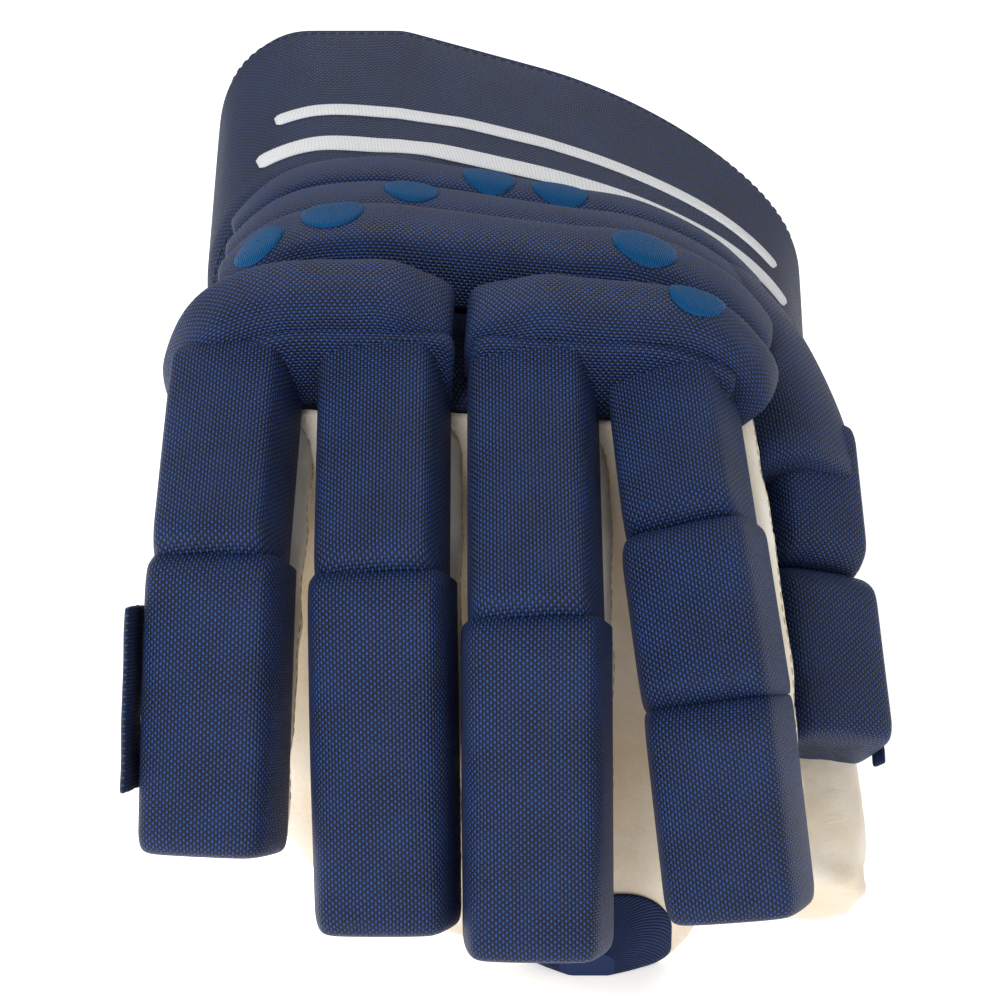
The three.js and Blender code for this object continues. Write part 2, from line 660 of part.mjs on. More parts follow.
// The origin lies under the middle of the glove, on the surface that it rests on
const box = new THREE.Box3();
for (const mesh of group.children) {
  mesh.geometry.computeBoundingBox();
  box.union(mesh.geometry.boundingBox);
}
for (const mesh of group.children) {
  mesh.geometry.translate(-(box.min.x + box.max.x) / 2, -(box.min.y + box.max.y) / 2, -box.min.z);
}

export default group;
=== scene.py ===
# %% [markdown]
# # An ice hockey glove
#
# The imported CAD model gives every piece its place. This lesson dresses it: stuffed nylon rolls,
# suede walls and stalls, a padded cuff, and the light to see them by. Sizes in the tables are in
# millimetres, and MM turns them into Blender's metres.

# %% Load the frame
import functools
import json
import math

import bmesh
import bpy
import numpy as np
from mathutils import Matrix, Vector, noise
from mathutils.bvhtree import BVHTree

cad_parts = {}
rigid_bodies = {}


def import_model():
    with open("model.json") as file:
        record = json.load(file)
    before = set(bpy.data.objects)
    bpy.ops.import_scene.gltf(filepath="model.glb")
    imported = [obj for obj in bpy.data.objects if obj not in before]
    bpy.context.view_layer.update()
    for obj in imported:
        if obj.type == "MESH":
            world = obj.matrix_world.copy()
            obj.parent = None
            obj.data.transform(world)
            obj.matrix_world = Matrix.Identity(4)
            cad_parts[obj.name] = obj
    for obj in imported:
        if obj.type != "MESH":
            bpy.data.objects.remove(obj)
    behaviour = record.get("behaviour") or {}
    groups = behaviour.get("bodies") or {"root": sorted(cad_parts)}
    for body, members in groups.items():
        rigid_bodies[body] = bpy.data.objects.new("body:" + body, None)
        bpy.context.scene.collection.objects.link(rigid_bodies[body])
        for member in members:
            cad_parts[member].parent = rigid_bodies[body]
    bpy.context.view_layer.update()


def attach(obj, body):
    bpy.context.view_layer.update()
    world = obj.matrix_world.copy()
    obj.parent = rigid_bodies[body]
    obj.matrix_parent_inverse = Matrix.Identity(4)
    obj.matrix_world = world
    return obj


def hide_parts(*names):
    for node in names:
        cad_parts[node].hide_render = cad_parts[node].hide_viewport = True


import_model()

# %% [markdown]
# ## Tables that describe the glove
#
# The solids were lofted through a few named sections. The same tables are kept here, so that the
# finer pieces made in Blender lie where the solids lie. SHIFT moves the tables' origin to the
# frame's origin, under the middle of the glove.

# %% Named sizes
MM = 0.001
# The tables' origin as seen from the frame's
SHIFT = np.array([-4.547, -60.413, 0])
SUEDE = 1.8
NYLON = 2.4
GAP = 0.35
CUFF_THICK = 10
WING_THICK = 5


def table(columns, *rows):
    """Rows of numbers as a dictionary of named columns."""
    names = columns.split()
    return {name: np.array([row[i] for row in rows], float) for i, name in enumerate(names)}


BODY = table(
    "y_top z_top y_low z_low left right up_x up_z side_x side_z heel_x heel_z fall",
    (-45, 6, -45, 0, 15, 29, 4, 2.4, 4, 2.4, 4, 2.4, 0),
    (-42, 13, -42, 0, 8, 37, 7, 5, 8, 6, 8, 5, 0),
    (-38, 20, -38, 0, 0, 44, 10, 8, 12, 10, 12, 9, 0),
    (-30, 36, -30, 0, -26, 52, 14, 12, 18, 14, 32, 20, 0),
    (-22, 58, -22, 0, -50, 57, 16, 18, 20, 20, 50, 34, 0),
    (-12, 86, -12, 0, -62, 61, 18, 20, 22, 24, 56, 42, 1),
    (-3, 114, -3, 0, -66, 63, 18, 20, 24, 26, 56, 44, 3),
    (4, 136, 4, 0, -69, 64, 20, 22, 26, 28, 52, 44, 6),
    (16, 149.5, 15, 0, -71, 65, 22, 22, 30, 29, 44, 42, 10),
    (44, 157, 36, 0, -72, 69, 23, 23, 34, 30, 32, 36, 12),
    (72, 158.5, 52, 0, -73, 73, 24, 24, 38, 32, 27, 30, 15),
    (100, 159.5, 68, 0, -74, 77, 25, 25, 42, 35, 26, 26, 18),
    (118, 161.5, 80, 0, -75, 79, 25, 25, 48, 38, 26, 26, 20),
    (160, 175, 94, 0, -76, 81, 21, 21, 60, 42, 26, 26, 23),
    (203, 190, 106, 0, -77, 84, 17, 17, 72, 46, 26, 26, 26),
)

FINGERS = {
    "pinky": table(
        "x y z wide deep",
        (-66, 13, 140, 17, 10),
        (-67.5, -32, 105, 16.5, 9.5),
        (-69.5, -56, 41, 14.5, 8.5),
    ),
    "ring": table(
        "x y z wide deep",
        (-29, 15, 142, 17.5, 10),
        (-28.5, -34.5, 102, 17, 9.5),
        (-27, -61, 23, 15.5, 8.5),
    ),
    "middle": table(
        "x y z wide deep",
        (8.5, 15, 140.5, 17.5, 10),
        (9, -42, 93.5, 17, 9.5),
        (9.5, -66, 19, 16, 8.5),
    ),
    "index": table(
        "x y z wide deep",
        (45, 13.5, 134.5, 17, 10),
        (48.5, -22, 108, 17, 9.5),
        (53.5, -45, 75.5, 16.5, 9),
        (59.5, -60, 27, 15, 8.5),
    ),
}
THUMB = table(
    "x y z wide deep",
    (46, 64, 92, 17, 18),
    (65, 35, 70, 17, 18),
    (73, 8, 46, 17.5, 18),
    (77, -14, 25, 17.5, 17),
    (77.5, -30, 12.5, 17, 14),
)
THUMB_STALL_OUT = (0.35, -0.75, 0.7)
OUTWARD = {
    "pinky": (-0.16, -1, 0.35),
    "ring": (-0.11, -1, 0.35),
    "middle": (-0.1, -1, 0.35),
    "index": (-0.24, -1, 0.35),
}
print("rows of the body:", len(BODY["y_top"]), " fingers:", list(FINGERS))


# %% [markdown]
# ## Curves through the tables
#
# A smooth curve through a few rows is a Catmull-Rom spline. Everything soft is then lofted: a
# section is walked round once per step of the curve, and the rings are joined with quads. A
# Blender curve with a bevel could do it too, but it can't change its section on the way.


# %% Smooth values and frames along a path
def along(rows, key, t):
    """The smooth value of a column at t, from 0 at the first row."""
    values = rows[key]
    last = len(values) - 1
    i = int(min(max(math.floor(t), 0), last - 1))
    u = t - i
    a, b, c, d = (values[min(max(k, 0), last)] for k in (i - 1, i, i + 1, i + 2))
    cubic = (3 * b - 3 * c + d - a) * u**3 + (2 * a - 5 * b + 4 * c - d) * u**2
    return b + 0.5 * (cubic + (c - a) * u)


def point_along(rows, t):
    return np.array([along(rows, key, t) for key in "xyz"])


def unit(v):
    return v / np.linalg.norm(v)


def frame_along(rows, t, rough_out):
    """Tangent, outward and side directions at t."""
    last = len(rows["x"]) - 1
    tangent = unit(point_along(rows, min(t + 0.02, last)) - point_along(rows, max(t - 0.02, 0)))
    rough = np.array(rough_out, float)
    out = unit(rough - tangent * (rough @ tangent))
    return tangent, out, np.cross(tangent, out)


# %% [markdown]
# ## From rings to a mesh
#
# Cloth simulation and the weave both follow the quads, so the rings are joined row by row. The UV
# map is measured in metres along the cover, as cloth lies on a cutting table, and a yarn then has
# its real width on every piece. An automatic unwrap would turn the weave from piece to piece.

# %% A mesh from rings of points
def placed(name, mesh):
    """An object in the scene for a mesh, shaded smooth."""
    mesh.polygons.foreach_set("use_smooth", [True] * len(mesh.polygons))
    mesh.update()
    piece = bpy.data.objects.new(name, mesh)
    bpy.context.scene.collection.objects.link(piece)
    return piece


def lengths(points):
    """How far each point of a line lies from its first, in metres."""
    steps = np.linalg.norm(np.diff(points, axis=0), axis=1)
    return np.concatenate([[0], np.cumsum(steps)]) * MM


def ring_mesh(name, rings):
    """Joins rings with quads and caps both ends. UVs: u along the row of rings, v round each."""
    rings = [np.asarray(ring, float) for ring in rings]
    count, n = len(rings), len(rings[0])
    points = (np.concatenate(rings) + SHIFT) * MM
    faces = []
    for i in range(count - 1):
        for j in range(n):
            k = (j + 1) % n
            faces.append((i * n + j, i * n + k, (i + 1) * n + k, (i + 1) * n + j))
    quads = len(faces)
    faces.append(tuple(range(n - 1, -1, -1)))
    faces.append(tuple(range((count - 1) * n, count * n)))
    mesh = bpy.data.meshes.new(name)
    mesh.from_pydata([tuple(p) for p in points], [], faces)
    middle = rings[count // 2]
    around = lengths(np.concatenate([middle, middle[:1]]))
    steps = [0.0]
    for a, b in zip(rings, rings[1:]):
        steps.append(steps[-1] + np.linalg.norm((b - a), axis=1).mean() * MM)
    uv = mesh.uv_layers.new(name="Weave").data
    loop = 0
    for face in range(quads):
        i, j = divmod(face, n)
        for a, b in ((i, j), (i, j + 1), (i + 1, j + 1), (i + 1, j)):
            uv[loop].uv = (steps[a], around[b])
            loop += 1
    for face in mesh.polygons[quads:]:
        for index in face.loop_indices:
            p = points[mesh.loops[index].vertex_index]
            uv[index].uv = (p[0], p[2])
    piece = placed(name, mesh)
    fix_outward(piece)
    return piece


def fix_outward(piece):
    """Turns the faces round where they enclose a negative volume."""
    work = bmesh.new()
    work.from_mesh(piece.data)
    if work.calc_volume(signed=True) < 0:
        bmesh.ops.reverse_faces(work, faces=work.faces)
    work.to_mesh(piece.data)
    work.free()


# %% [markdown]
# ## Materials
#
# The rolls are covered in a coarse basket-woven nylon, the palm is napped suede, the edges are
# twill tape. They could be scanned images, but procedural nodes stay sharp at any distance and
# carry real sizes. A shader works in linear light, so colours picked as sRGB hex are turned over
# once, and a texture's scale is always worked out from a size in millimetres.

# %% Node helpers
def linear(hex_colour):
    """An sRGB colour such as 2b3b60 as the linear RGBA that a shader expects."""
    channels = [int(hex_colour[i : i + 2], 16) / 255 for i in (0, 2, 4)]
    curve = [c / 12.92 if c <= 0.04045 else ((c + 0.055) / 1.055) ** 2.4 for c in channels]
    return (*curve, 1.0)


def add(tree, kind, links=None, **settings):
    """A node with its settings. An input takes a value, a socket, or a node's first output."""
    made = tree.nodes.new("ShaderNode" + kind)
    for key, value in settings.items():
        setattr(made, key, value)
    for key, value in (links or {}).items():
        source = value.outputs[0] if isinstance(value, bpy.types.Node) else value
        if isinstance(source, bpy.types.NodeSocket):
            tree.links.new(source, made.inputs[key])
        else:
            made.inputs[key].default_value = source
    return made


def per(size_mm):
    """The texture scale whose features lie about size_mm apart."""
    return 1 / (size_mm * MM)


def new_material(name):
    """A material with its tree and its shader."""
    material = bpy.data.materials.new(name)
    material.use_nodes = True
    tree = material.node_tree
    return material, tree, tree.nodes["Principled BSDF"]


# %% [markdown]
# ## Basket-woven nylon
#
# Flat bundles of nylon filament cross over and under each other. The colour carries a painted
# highlight where each bundle comes up, and painted shade, nearly black, in the gaps. Two sine waves
# with the yarns' spacing as period say which bundle lies on top, and the same height drives the bump
# and the painted light and shade, so they agree. Fine noise stands for the single filaments and a
# slow one for handling marks.

# %% Basket-woven nylon
YARN_U = 0.72
YARN_V = 0.88


def woven_nylon(name, gap, yarn, bright, bump_mm=0.4):
    """Flat yarns that pass over and under each other, from a UV map in metres.

    The gap colour is painted shade between the yarns, the bright colour a painted highlight on them.
    """
    material, tree, shader = new_material(name)
    place = add(tree, "UVMap", uv_map="Weave")
    wobble = add(tree, "TexNoise", {"Vector": place, "Scale": per(3.85), "Detail": 2.0})
    small = add(tree, "VectorMath", {0: wobble.outputs["Color"], 1: (0.3 * MM,) * 3}, operation="MULTIPLY")
    moved = add(tree, "VectorMath", {0: place, 1: small}, operation="ADD")
    split = add(tree, "SeparateXYZ", {0: moved})
    waves, rounds = [], []
    for axis, spacing in ((0, YARN_U), (1, YARN_V)):
        links = {0: split.outputs[axis], 1: math.pi / (spacing * MM)}
        turns = add(tree, "Math", links, operation="MULTIPLY")
        waves.append(add(tree, "Math", {0: turns}, operation="SINE"))
        size = add(tree, "Math", {0: waves[-1]}, operation="ABSOLUTE")
        rounds.append(add(tree, "Math", {0: size, 1: 0.6}, operation="POWER"))
    both = add(tree, "Math", {0: waves[0], 1: waves[1]}, operation="MULTIPLY")
    weft_over = add(tree, "Math", {0: both, 1: 0.5, 2: 0.5}, operation="MULTIPLY_ADD")
    warp_over = add(tree, "Math", {0: 1.0, 1: weft_over}, operation="SUBTRACT")
    flat = add(tree, "Math", {0: weft_over, 1: 0.8}, operation="POWER")
    weft = add(tree, "Math", {0: rounds[1], 1: flat}, operation="MULTIPLY")
    warp = add(tree, "Math", {0: rounds[0], 1: warp_over}, operation="MULTIPLY")
    low_warp = add(tree, "Math", {0: warp, 1: 0.8}, operation="MULTIPLY")
    height = add(tree, "Math", {0: weft, 1: low_warp}, operation="MAXIMUM")
    fibre = add(tree, "TexNoise", {"Vector": moved, "Scale": per(0.385), "Detail": 3.0})
    relief = add(tree, "Math", {0: fibre, 1: 0.3, 2: height}, operation="MULTIPLY_ADD")
    patch = add(tree, "TexNoise", {"Vector": place, "Scale": per(14.3), "Detail": 3.0})
    dull_warp = add(tree, "Math", {0: warp, 1: 0.48}, operation="MULTIPLY")
    colour = add(tree, "Math", {0: weft, 1: dull_warp}, operation="MAXIMUM")
    shade = add(tree, "Math", {0: patch, 1: 0.3, 2: colour}, operation="MULTIPLY_ADD")
    lit = add(tree, "Math", {0: fibre, 1: 0.25, 2: shade}, operation="MULTIPLY_ADD")
    # Painted light in the colour: low values take the gap colour as painted shade between the yarns, high
    # ones the bright colour as a painted highlight on the raised yarns, weft more than warp.
    ramp = add(tree, "ValToRGB", {0: lit})
    ramp.color_ramp.elements[0].position = 0.55
    ramp.color_ramp.elements[0].color = linear(gap)
    ramp.color_ramp.elements[1].position = 0.8
    ramp.color_ramp.elements[1].color = linear(yarn)
    ramp.color_ramp.elements.new(1.0).color = linear(bright)
    bump = add(tree, "Bump", {"Height": relief, "Distance": bump_mm * MM, "Strength": 1.0})
    tree.links.new(ramp.outputs[0], shader.inputs["Base Color"])
    tree.links.new(bump.outputs[0], shader.inputs["Normal"])
    shader.inputs["Roughness"].default_value = 0.5
    shader.inputs["Specular IOR Level"].default_value = 0.3
    shader.inputs["Sheen Weight"].default_value = 0.02
    return material


# In both: the first colour is painted shade in the gaps between yarns, the last a painted highlight on the
# yarns.
NYLON_ROLL = woven_nylon("woven_nylon", "02050f", "0c2046", "20458a")
NYLON_PANEL = woven_nylon("woven_nylon_panel", "03060f", "0d1c3d", "1d3c74", bump_mm=0.3)
print("nylon:", NYLON_ROLL.name, NYLON_PANEL.name, " yarns, mm:", YARN_U, YARN_V)

# %% [markdown]
# ## Suede, tape and thread
#
# The palm and the stalls are split leather, buffed until it has a nap. A nap scatters light, so the
# surface is fully rough with a little sheen, and clouds of a darker cream show where it was
# stroked. Twill tape and satin stitch are both parallel ribs: in twill they slant, in satin stitch
# the threads lie straight across the motif, and their colour is darker in the grooves between the
# ribs as painted shade. The sewing thread is waxed, so it is the glossiest.

# %% Suede, tape and thread
def suede(name, light, shaded):
    """Napped leather: fine fibres, and soft clouds of colour where the nap lies both ways."""
    material, tree, shader = new_material(name)
    place = add(tree, "TexCoord").outputs["Object"]
    fine = add(tree, "TexNoise", {"Vector": place, "Scale": per(1.11), "Detail": 6.0, "Roughness": 0.7})
    cloud = add(tree, "TexNoise", {"Vector": place, "Scale": per(23.8), "Detail": 4.0})
    both = add(tree, "Math", {0: fine, 1: 0.35, 2: cloud}, operation="MULTIPLY_ADD")
    ramp = add(tree, "ValToRGB", {0: both})
    ramp.color_ramp.elements[0].position = 0.5
    ramp.color_ramp.elements[0].color = linear(shaded)
    ramp.color_ramp.elements[1].position = 0.85
    ramp.color_ramp.elements[1].color = linear(light)
    wrinkles = {"Vector": place, "Scale": per(6.25), "Detail": 3.0, "Distortion": 0.6}
    rough = add(tree, "TexNoise", wrinkles)
    relief = add(tree, "Math", {0: rough, 1: 2.0, 2: fine}, operation="MULTIPLY_ADD")
    bump = add(tree, "Bump", {"Height": relief, "Distance": 0.35 * MM, "Strength": 0.7})
    tree.links.new(ramp.outputs[0], shader.inputs["Base Color"])
    tree.links.new(bump.outputs[0], shader.inputs["Normal"])
    shader.inputs["Roughness"].default_value = 0.95
    shader.inputs["Sheen Weight"].default_value = 0.4
    shader.inputs["Sheen Roughness"].default_value = 0.4
    return material


def ribbed(name, dark, light, rib_mm, slant=0.0, rough=0.6):
    """Parallel ribs: twill where they slant, satin stitch where they run straight across.

    The dark colour is painted shade in the grooves between the ribs.
    """
    material, tree, shader = new_material(name)
    place = add(tree, "UVMap", uv_map="Weave")
    split = add(tree, "SeparateXYZ", {0: place})
    wander = add(tree, "TexNoise", {"Vector": place, "Scale": per(2.5), "Detail": 2.0})
    along_u, along_v = split.outputs[0], split.outputs[1]
    run = add(tree, "Math", {0: along_v, 1: slant, 2: along_u}, operation="MULTIPLY_ADD")
    turns = add(tree, "Math", {0: run, 1: 2 * math.pi / (rib_mm * MM)}, operation="MULTIPLY")
    shifted = add(tree, "Math", {0: wander, 1: 1.6, 2: turns}, operation="MULTIPLY_ADD")
    wave = add(tree, "Math", {0: shifted}, operation="SINE")
    height = add(tree, "Math", {0: wave, 1: 0.5, 2: 0.5}, operation="MULTIPLY_ADD")
    # Painted shade: the colour darkens from the rib crests into the grooves between them.
    ramp = add(tree, "ValToRGB", {0: height})
    ramp.color_ramp.elements[0].color = linear(dark)
    ramp.color_ramp.elements[1].position = 0.7
    ramp.color_ramp.elements[1].color = linear(light)
    bump = add(tree, "Bump", {"Height": height, "Distance": 0.2 * MM, "Strength": 0.8})
    tree.links.new(ramp.outputs[0], shader.inputs["Base Color"])
    tree.links.new(bump.outputs[0], shader.inputs["Normal"])
    shader.inputs["Roughness"].default_value = rough
    shader.inputs["Specular IOR Level"].default_value = 0.15
    return material


def thread(name, colour):
    """Waxed sewing thread: a plain colour with a slight gloss."""
    material, tree, shader = new_material(name)
    place = add(tree, "TexCoord").outputs["Object"]
    ply = add(tree, "TexNoise", {"Vector": place, "Scale": per(0.333), "Detail": 2.0})
    bump = add(tree, "Bump", {"Height": ply, "Distance": 0.1 * MM, "Strength": 0.7})
    tree.links.new(bump.outputs[0], shader.inputs["Normal"])
    shader.inputs["Base Color"].default_value = linear(colour)
    shader.inputs["Roughness"].default_value = 0.45
    return material


SUEDE_CREAM = suede("cream_suede", "fdf6ea", "f0dfc6")
# The first colour of each ribbed material is painted shade in the grooves between its ribs.
TAPE_NAVY = ribbed("navy_twill", "10182f", "2a3963", 0.9, slant=1.0)
SATIN_BLUE = ribbed("blue_satin_stitch", "00263f", "00568f", 0.42, rough=0.5)
SATIN_WHITE = ribbed("white_satin_stitch", "b9bcc2", "fbfbfb", 0.42, rough=0.45)
THREAD_CREAM = thread("cream_thread", "cdb88e")
THREAD_NAVY = thread("navy_thread", "141c35")
print("materials:", [m.name for m in bpy.data.materials])

# %% [markdown]
# ## The rolls
#
# On the real glove a roll is a sleeve of nylon, stuffed with foam and sewn down along both sides.
# Its face is crowned, its sides slope in and its ends are crisp folds. A box with bevelled edges
# would be quicker, but all its faces would stay flat. So a loft gives the section, and the rings
# shrink towards both ends.

# %% Sections of a roll
FINGER_SECTION = (
    (0.99, 0.0),
    (1.0, 0.12),
    (0.965, 0.34),
    (0.915, 0.56),
    (0.86, 0.76),
    (0.8, 0.89),
    (0.7, 0.955),
    (0.4, 0.995),
)
HAND_SECTION = (
    (0.99, 0.0),
    (1.0, 0.3),
    (0.985, 0.55),
    (0.93, 0.75),
    (0.82, 0.89),
    (0.62, 0.96),
    (0.35, 0.995),
)
ROLL_END = ((0.0, 0.72), (0.03, 0.83), (0.08, 0.92), (0.17, 0.975), (0.34, 1.0))


def section_ring(section, per_span=3):
    """The section as (side, rise) pairs, evenly filled in, from one foot over the face to the other."""
    half = [np.array(p) for p in section]
    outline = half + [np.array((0.0, 1.0))] + [np.array((-p[0], p[1])) for p in reversed(half)]
    filled = []
    for a, b in zip(outline, outline[1:]):
        filled += [a + (b - a) * k / per_span for k in range(per_span)]
    filled.append(outline[-1])
    smooth = np.array(filled)
    for _ in range(3):
        smooth[1:-1] = (smooth[:-2] + 2 * smooth[1:-1] + smooth[2:]) / 4
    return smooth


def roll_rings(rows, out_at, section, step=1.5):
    """Rings of a roll along its seat line; a ring every step millimetres."""
    last = len(rows["x"]) - 1
    samples = [point_along(rows, last * i / 40) for i in range(41)]
    length = sum(np.linalg.norm(b - a) for a, b in zip(samples, samples[1:]))
    height0 = rows["height"][0]
    ends = [(inset * height0 / length, share) for inset, share in ROLL_END]
    reach = ends[-1][0]
    middle = max(int((1 - 2 * reach) * length / step), 2)
    inner = [(reach + (1 - 2 * reach) * i / middle, 1.0) for i in range(1, middle)]
    stations = ends + inner + [(1 - at, share) for at, share in reversed(ends)]
    outline = section_ring(section)
    rings = []
    for share_along, share in stations:
        t = share_along * last
        tangent, out, side = frame_along(rows, t, out_at(share_along))
        half = along(rows, "width", t) / 2 * (0.3 + 0.7 * share)
        height = along(rows, "height", t) * share
        seat = point_along(rows, t)
        rings.append(seat + outline[:, :1] * half * side + outline[:, 1:] * height * out)
    return rings


# %% [markdown]
# ## Stuffing by cloth simulation
#
# Foam pushes the cover out between its seams, and the nylon hardly stretches. Cloth simulation
# with an inner pressure does the same: the seat and the seams are pinned, a few frames are run
# without gravity, and the swollen shape is kept as a plain mesh. A cap on each point's travel
# keeps neighbours apart.

# %% Cloth simulation of one stuffed piece
SETTLE_FRAMES = 14
NYLON_STIFFNESS = 18.0


def soften(piece, pinned, pressure, cap):
    """Lets a cover swell by up to cap mm, with the pinned points held. Returns the furthest move."""
    mesh = piece.data
    before = np.empty(len(mesh.vertices) * 3)
    mesh.vertices.foreach_get("co", before)
    group = piece.vertex_groups.new(name="seams")
    for index, weight in pinned:
        group.add([int(index)], float(weight), "REPLACE")
    cloth = piece.modifiers.new("Cloth", "CLOTH")
    nylon = cloth.settings
    nylon.quality = 5
    nylon.mass = 0.25
    nylon.tension_stiffness = NYLON_STIFFNESS
    nylon.compression_stiffness = NYLON_STIFFNESS
    nylon.shear_stiffness = NYLON_STIFFNESS
    nylon.bending_stiffness = 2.0
    nylon.use_pressure = True
    nylon.uniform_pressure_force = pressure
    nylon.vertex_group_mass = "seams"
    nylon.effector_weights.gravity = 0.0
    cloth.point_cache.frame_start = 1
    cloth.point_cache.frame_end = SETTLE_FRAMES
    scene = bpy.context.scene
    for number in range(1, SETTLE_FRAMES + 1):
        scene.frame_set(number)
    evaluated = piece.evaluated_get(bpy.context.evaluated_depsgraph_get())
    after = np.empty_like(before)
    evaluated.data.vertices.foreach_get("co", after)
    move = (after - before).reshape(-1, 3)
    size = np.linalg.norm(move, axis=1)
    limit = np.minimum(1.0, cap * MM / np.maximum(size, 1e-9))[:, None]
    piece.modifiers.remove(cloth)
    mesh.vertices.foreach_set("co", (before.reshape(-1, 3) + move * limit).ravel())
    mesh.update()
    scene.frame_set(1)
    return float((np.minimum(size, cap * MM)).max() / MM)


def finish_piece(piece, material, nodes, levels=1):
    """Material, rounding, and the piece's place in the frame."""
    piece.data.materials.clear()
    piece.data.materials.append(material)
    piece.data.polygons.foreach_set("material_index", [0] * len(piece.data.polygons))
    if levels:
        smooth = piece.modifiers.new("Smooth", "SUBSURF")
        smooth.levels = smooth.render_levels = levels
    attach(piece, "root")
    if nodes:
        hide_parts(*nodes)


print("frames to settle:", SETTLE_FRAMES)

# %% [markdown]
# ## One roll, from rings to a soft piece
#
# Where two blocks of a finger meet, both covers end in a fold. A fold is a plane that the points
# beyond it are pressed onto, and the face sinks towards it along a quarter circle, as the cover
# does when it is drawn in by the seam. Cutting with the plane instead would leave a knife edge.

# %% A stuffed roll
CREASE_WIDE = 9.0
CREASE_DEEP = 7.5


def stuffed_roll(name, rows, out_at, section, pressure, cap, trims=()):
    """A roll as a soft piece that stands for the CAD node of the same name."""
    rings = roll_rings(rows, out_at, section)
    middle = (len(rows["x"]) - 1) / 2
    tangent, out, side = frame_along(rows, middle, out_at(0.5))
    seat, height = point_along(rows, middle), along(rows, "height", middle)
    for centre, normal in trims:
        for ring in rings:
            behind = (ring - centre) @ normal
            ring -= np.minimum(behind, 0)[:, None] * normal
            near = 1 - np.clip(behind / CREASE_WIDE, 0, 1)
            risen = np.clip((ring - seat) @ out / height, 0, 1)
            ring -= (CREASE_DEEP * risen * (1 - np.sqrt(1 - near**2)))[:, None] * out
    piece = ring_mesh(f"{name}_cover", rings)
    n = len(rings[0])
    count = len(rings)
    pinned = []
    for i in range(count):
        for j in range(n):
            foot = min(j, n - 1 - j)
            end = min(i, count - 1 - i)
            weight = 1.0 if foot < 3 or end < 1 else 0.6 if foot < 5 or end < 3 else 0.0
            if weight:
                pinned.append((i * n + j, weight))
    moved = soften(piece, pinned, pressure, cap)
    finish_piece(piece, NYLON_ROLL, [name])
    return moved


# %% [markdown]
# ## The body's surface
#
# The hand cavity is one continuous form, from the tip of the palm to the rim of the cuff. Each
# section is a box with four elliptical corners. Modelling the walls, rolls and cuff one by one
# would leave gaps between them, so one function gives a point of the surface, and they all ask it.

# %% A point of the body
HEEL_SHARE = 0.5


def quarter(share, rx, rz, flat_x, flat_z):
    """A quarter of a rounded box, from its side (share 0) to its top (share 1)."""
    arc = math.pi / 2 * math.sqrt((rx * rx + rz * rz) / 2)
    at = share * (flat_x + arc + flat_z)
    if at < flat_z:
        return flat_x + rx, at
    if at > flat_z + arc:
        return flat_x + arc + flat_z - at, flat_z + rz
    angle = (at - flat_z) / arc * math.pi / 2
    return flat_x + rx * math.cos(angle), flat_z + rz * math.sin(angle)


@functools.cache
def section_at(s):
    return {key: along(BODY, key, s) for key in BODY}


def body_point(s, around, depth=0.0):
    """A point under the body's face: s along its rows, around from the thumb side over the back."""
    g = section_at(s)
    tall = math.hypot(g["y_top"] - g["y_low"], g["z_top"] - g["z_low"])
    four = (around % 1) * 4
    corner = int(four)
    part = four - corner
    upper, right = corner < 2, corner in (0, 3)
    half_x = (g["right"] - g["left"]) / 2 - depth
    half_z = tall / 2 - depth
    share = 1 if upper or not right else HEEL_SHARE
    kind = "heel" if not upper else "side" if right else "up"
    wide, high = g[f"{kind}_x"] * share, g[f"{kind}_z"] * share
    rx = min(max(wide - depth, 0.5), half_x)
    rz = min(max(high - depth, 0.5), half_z)
    x, z = quarter(part if corner % 2 == 0 else 1 - part, rx, rz, half_x - rx, half_z - rz)
    x = (g["left"] + g["right"]) / 2 + (x if right else -x)
    h = (tall / 2 + (z if upper else -z)) / tall
    fallen = g["fall"] * max(x + 30, 0) * 0.01 * max(h, 0) ** 2
    return np.array(
        [
            x,
            g["y_low"] + (g["y_top"] - g["y_low"]) * h,
            g["z_low"] + (g["z_top"] - g["z_low"]) * h - fallen,
        ]
    )


def body_out(s, around):
    """The direction that points straight out of the body there."""
    ahead = body_point(s + 0.1, around) - body_point(s - 0.1, around)
    across = body_point(s, around + 0.008) - body_point(s, around - 0.008)
    return unit(np.cross(ahead, across))


print("rim of the cuff, mm:", [float(c) for c in body_point(14, 0.25).round(1)])

# %% [markdown]
# ## Rolls across the hand
#
# Five padded rolls lie across the back of the hand and bend with it. Each sits on the body between
# two of its rows, and its height drops towards both ends, where it is sewn into the side. A roll
# is made from named places on the body, so it follows when the body's table changes.

# %% Rolls across the hand
HAND_ROLLS = {
    "roll_4_right": dict(front=7.45, back=8.5, start=0.12, end=0.262, height=23),
    "roll_4_left": dict(front=7.45, back=8.5, start=0.268, end=0.395, height=23),
    "roll_3": dict(front=8.5, back=9.5, start=0.122, end=0.374, height=20),
    "roll_2": dict(front=9.5, back=10.5, start=0.125, end=0.376, height=18),
    "roll_1": dict(front=10.5, back=11.72, start=0.128, end=0.378, height=17),
}
ROLL_STEPS = 8


def hand_roll_rows(front, back, start, end, height):
    """Rows of a roll's seat, and its outward direction at a share of its length."""
    middle = (front + back) / 2
    rows = []
    for i in range(ROLL_STEPS + 1):
        around = start + (end - start) * i / ROLL_STEPS
        seat = body_point(middle, around, -0.1)
        span = np.linalg.norm(body_point(front, around) - body_point(back, around))
        near_end = min(min(i, ROLL_STEPS - i) / 2, 1)
        rows.append((*seat, span - 0.2, height * (0.7 + 0.3 * near_end)))
    return table("x y z width height", *rows), lambda share: body_out(middle, start + (end - start) * share)


for name, facts in HAND_ROLLS.items():
    rows, out_at = hand_roll_rows(**facts)
    swell = stuffed_roll(name, rows, out_at, HAND_SECTION, 2.0, 1.2)
    print(f"{name}: swelled by {swell:.2f} mm")

# %% [markdown]
# ## Finger and thumb rolls
#
# Each finger carries two or three stuffed blocks that meet where the finger bends. One long roll
# could be bent instead, but it would kink there. So each block is a roll of its own, and the plane
# of its fold goes through the joint, halfway between the two directions. The first block of a
# finger is a little slimmer than the others.

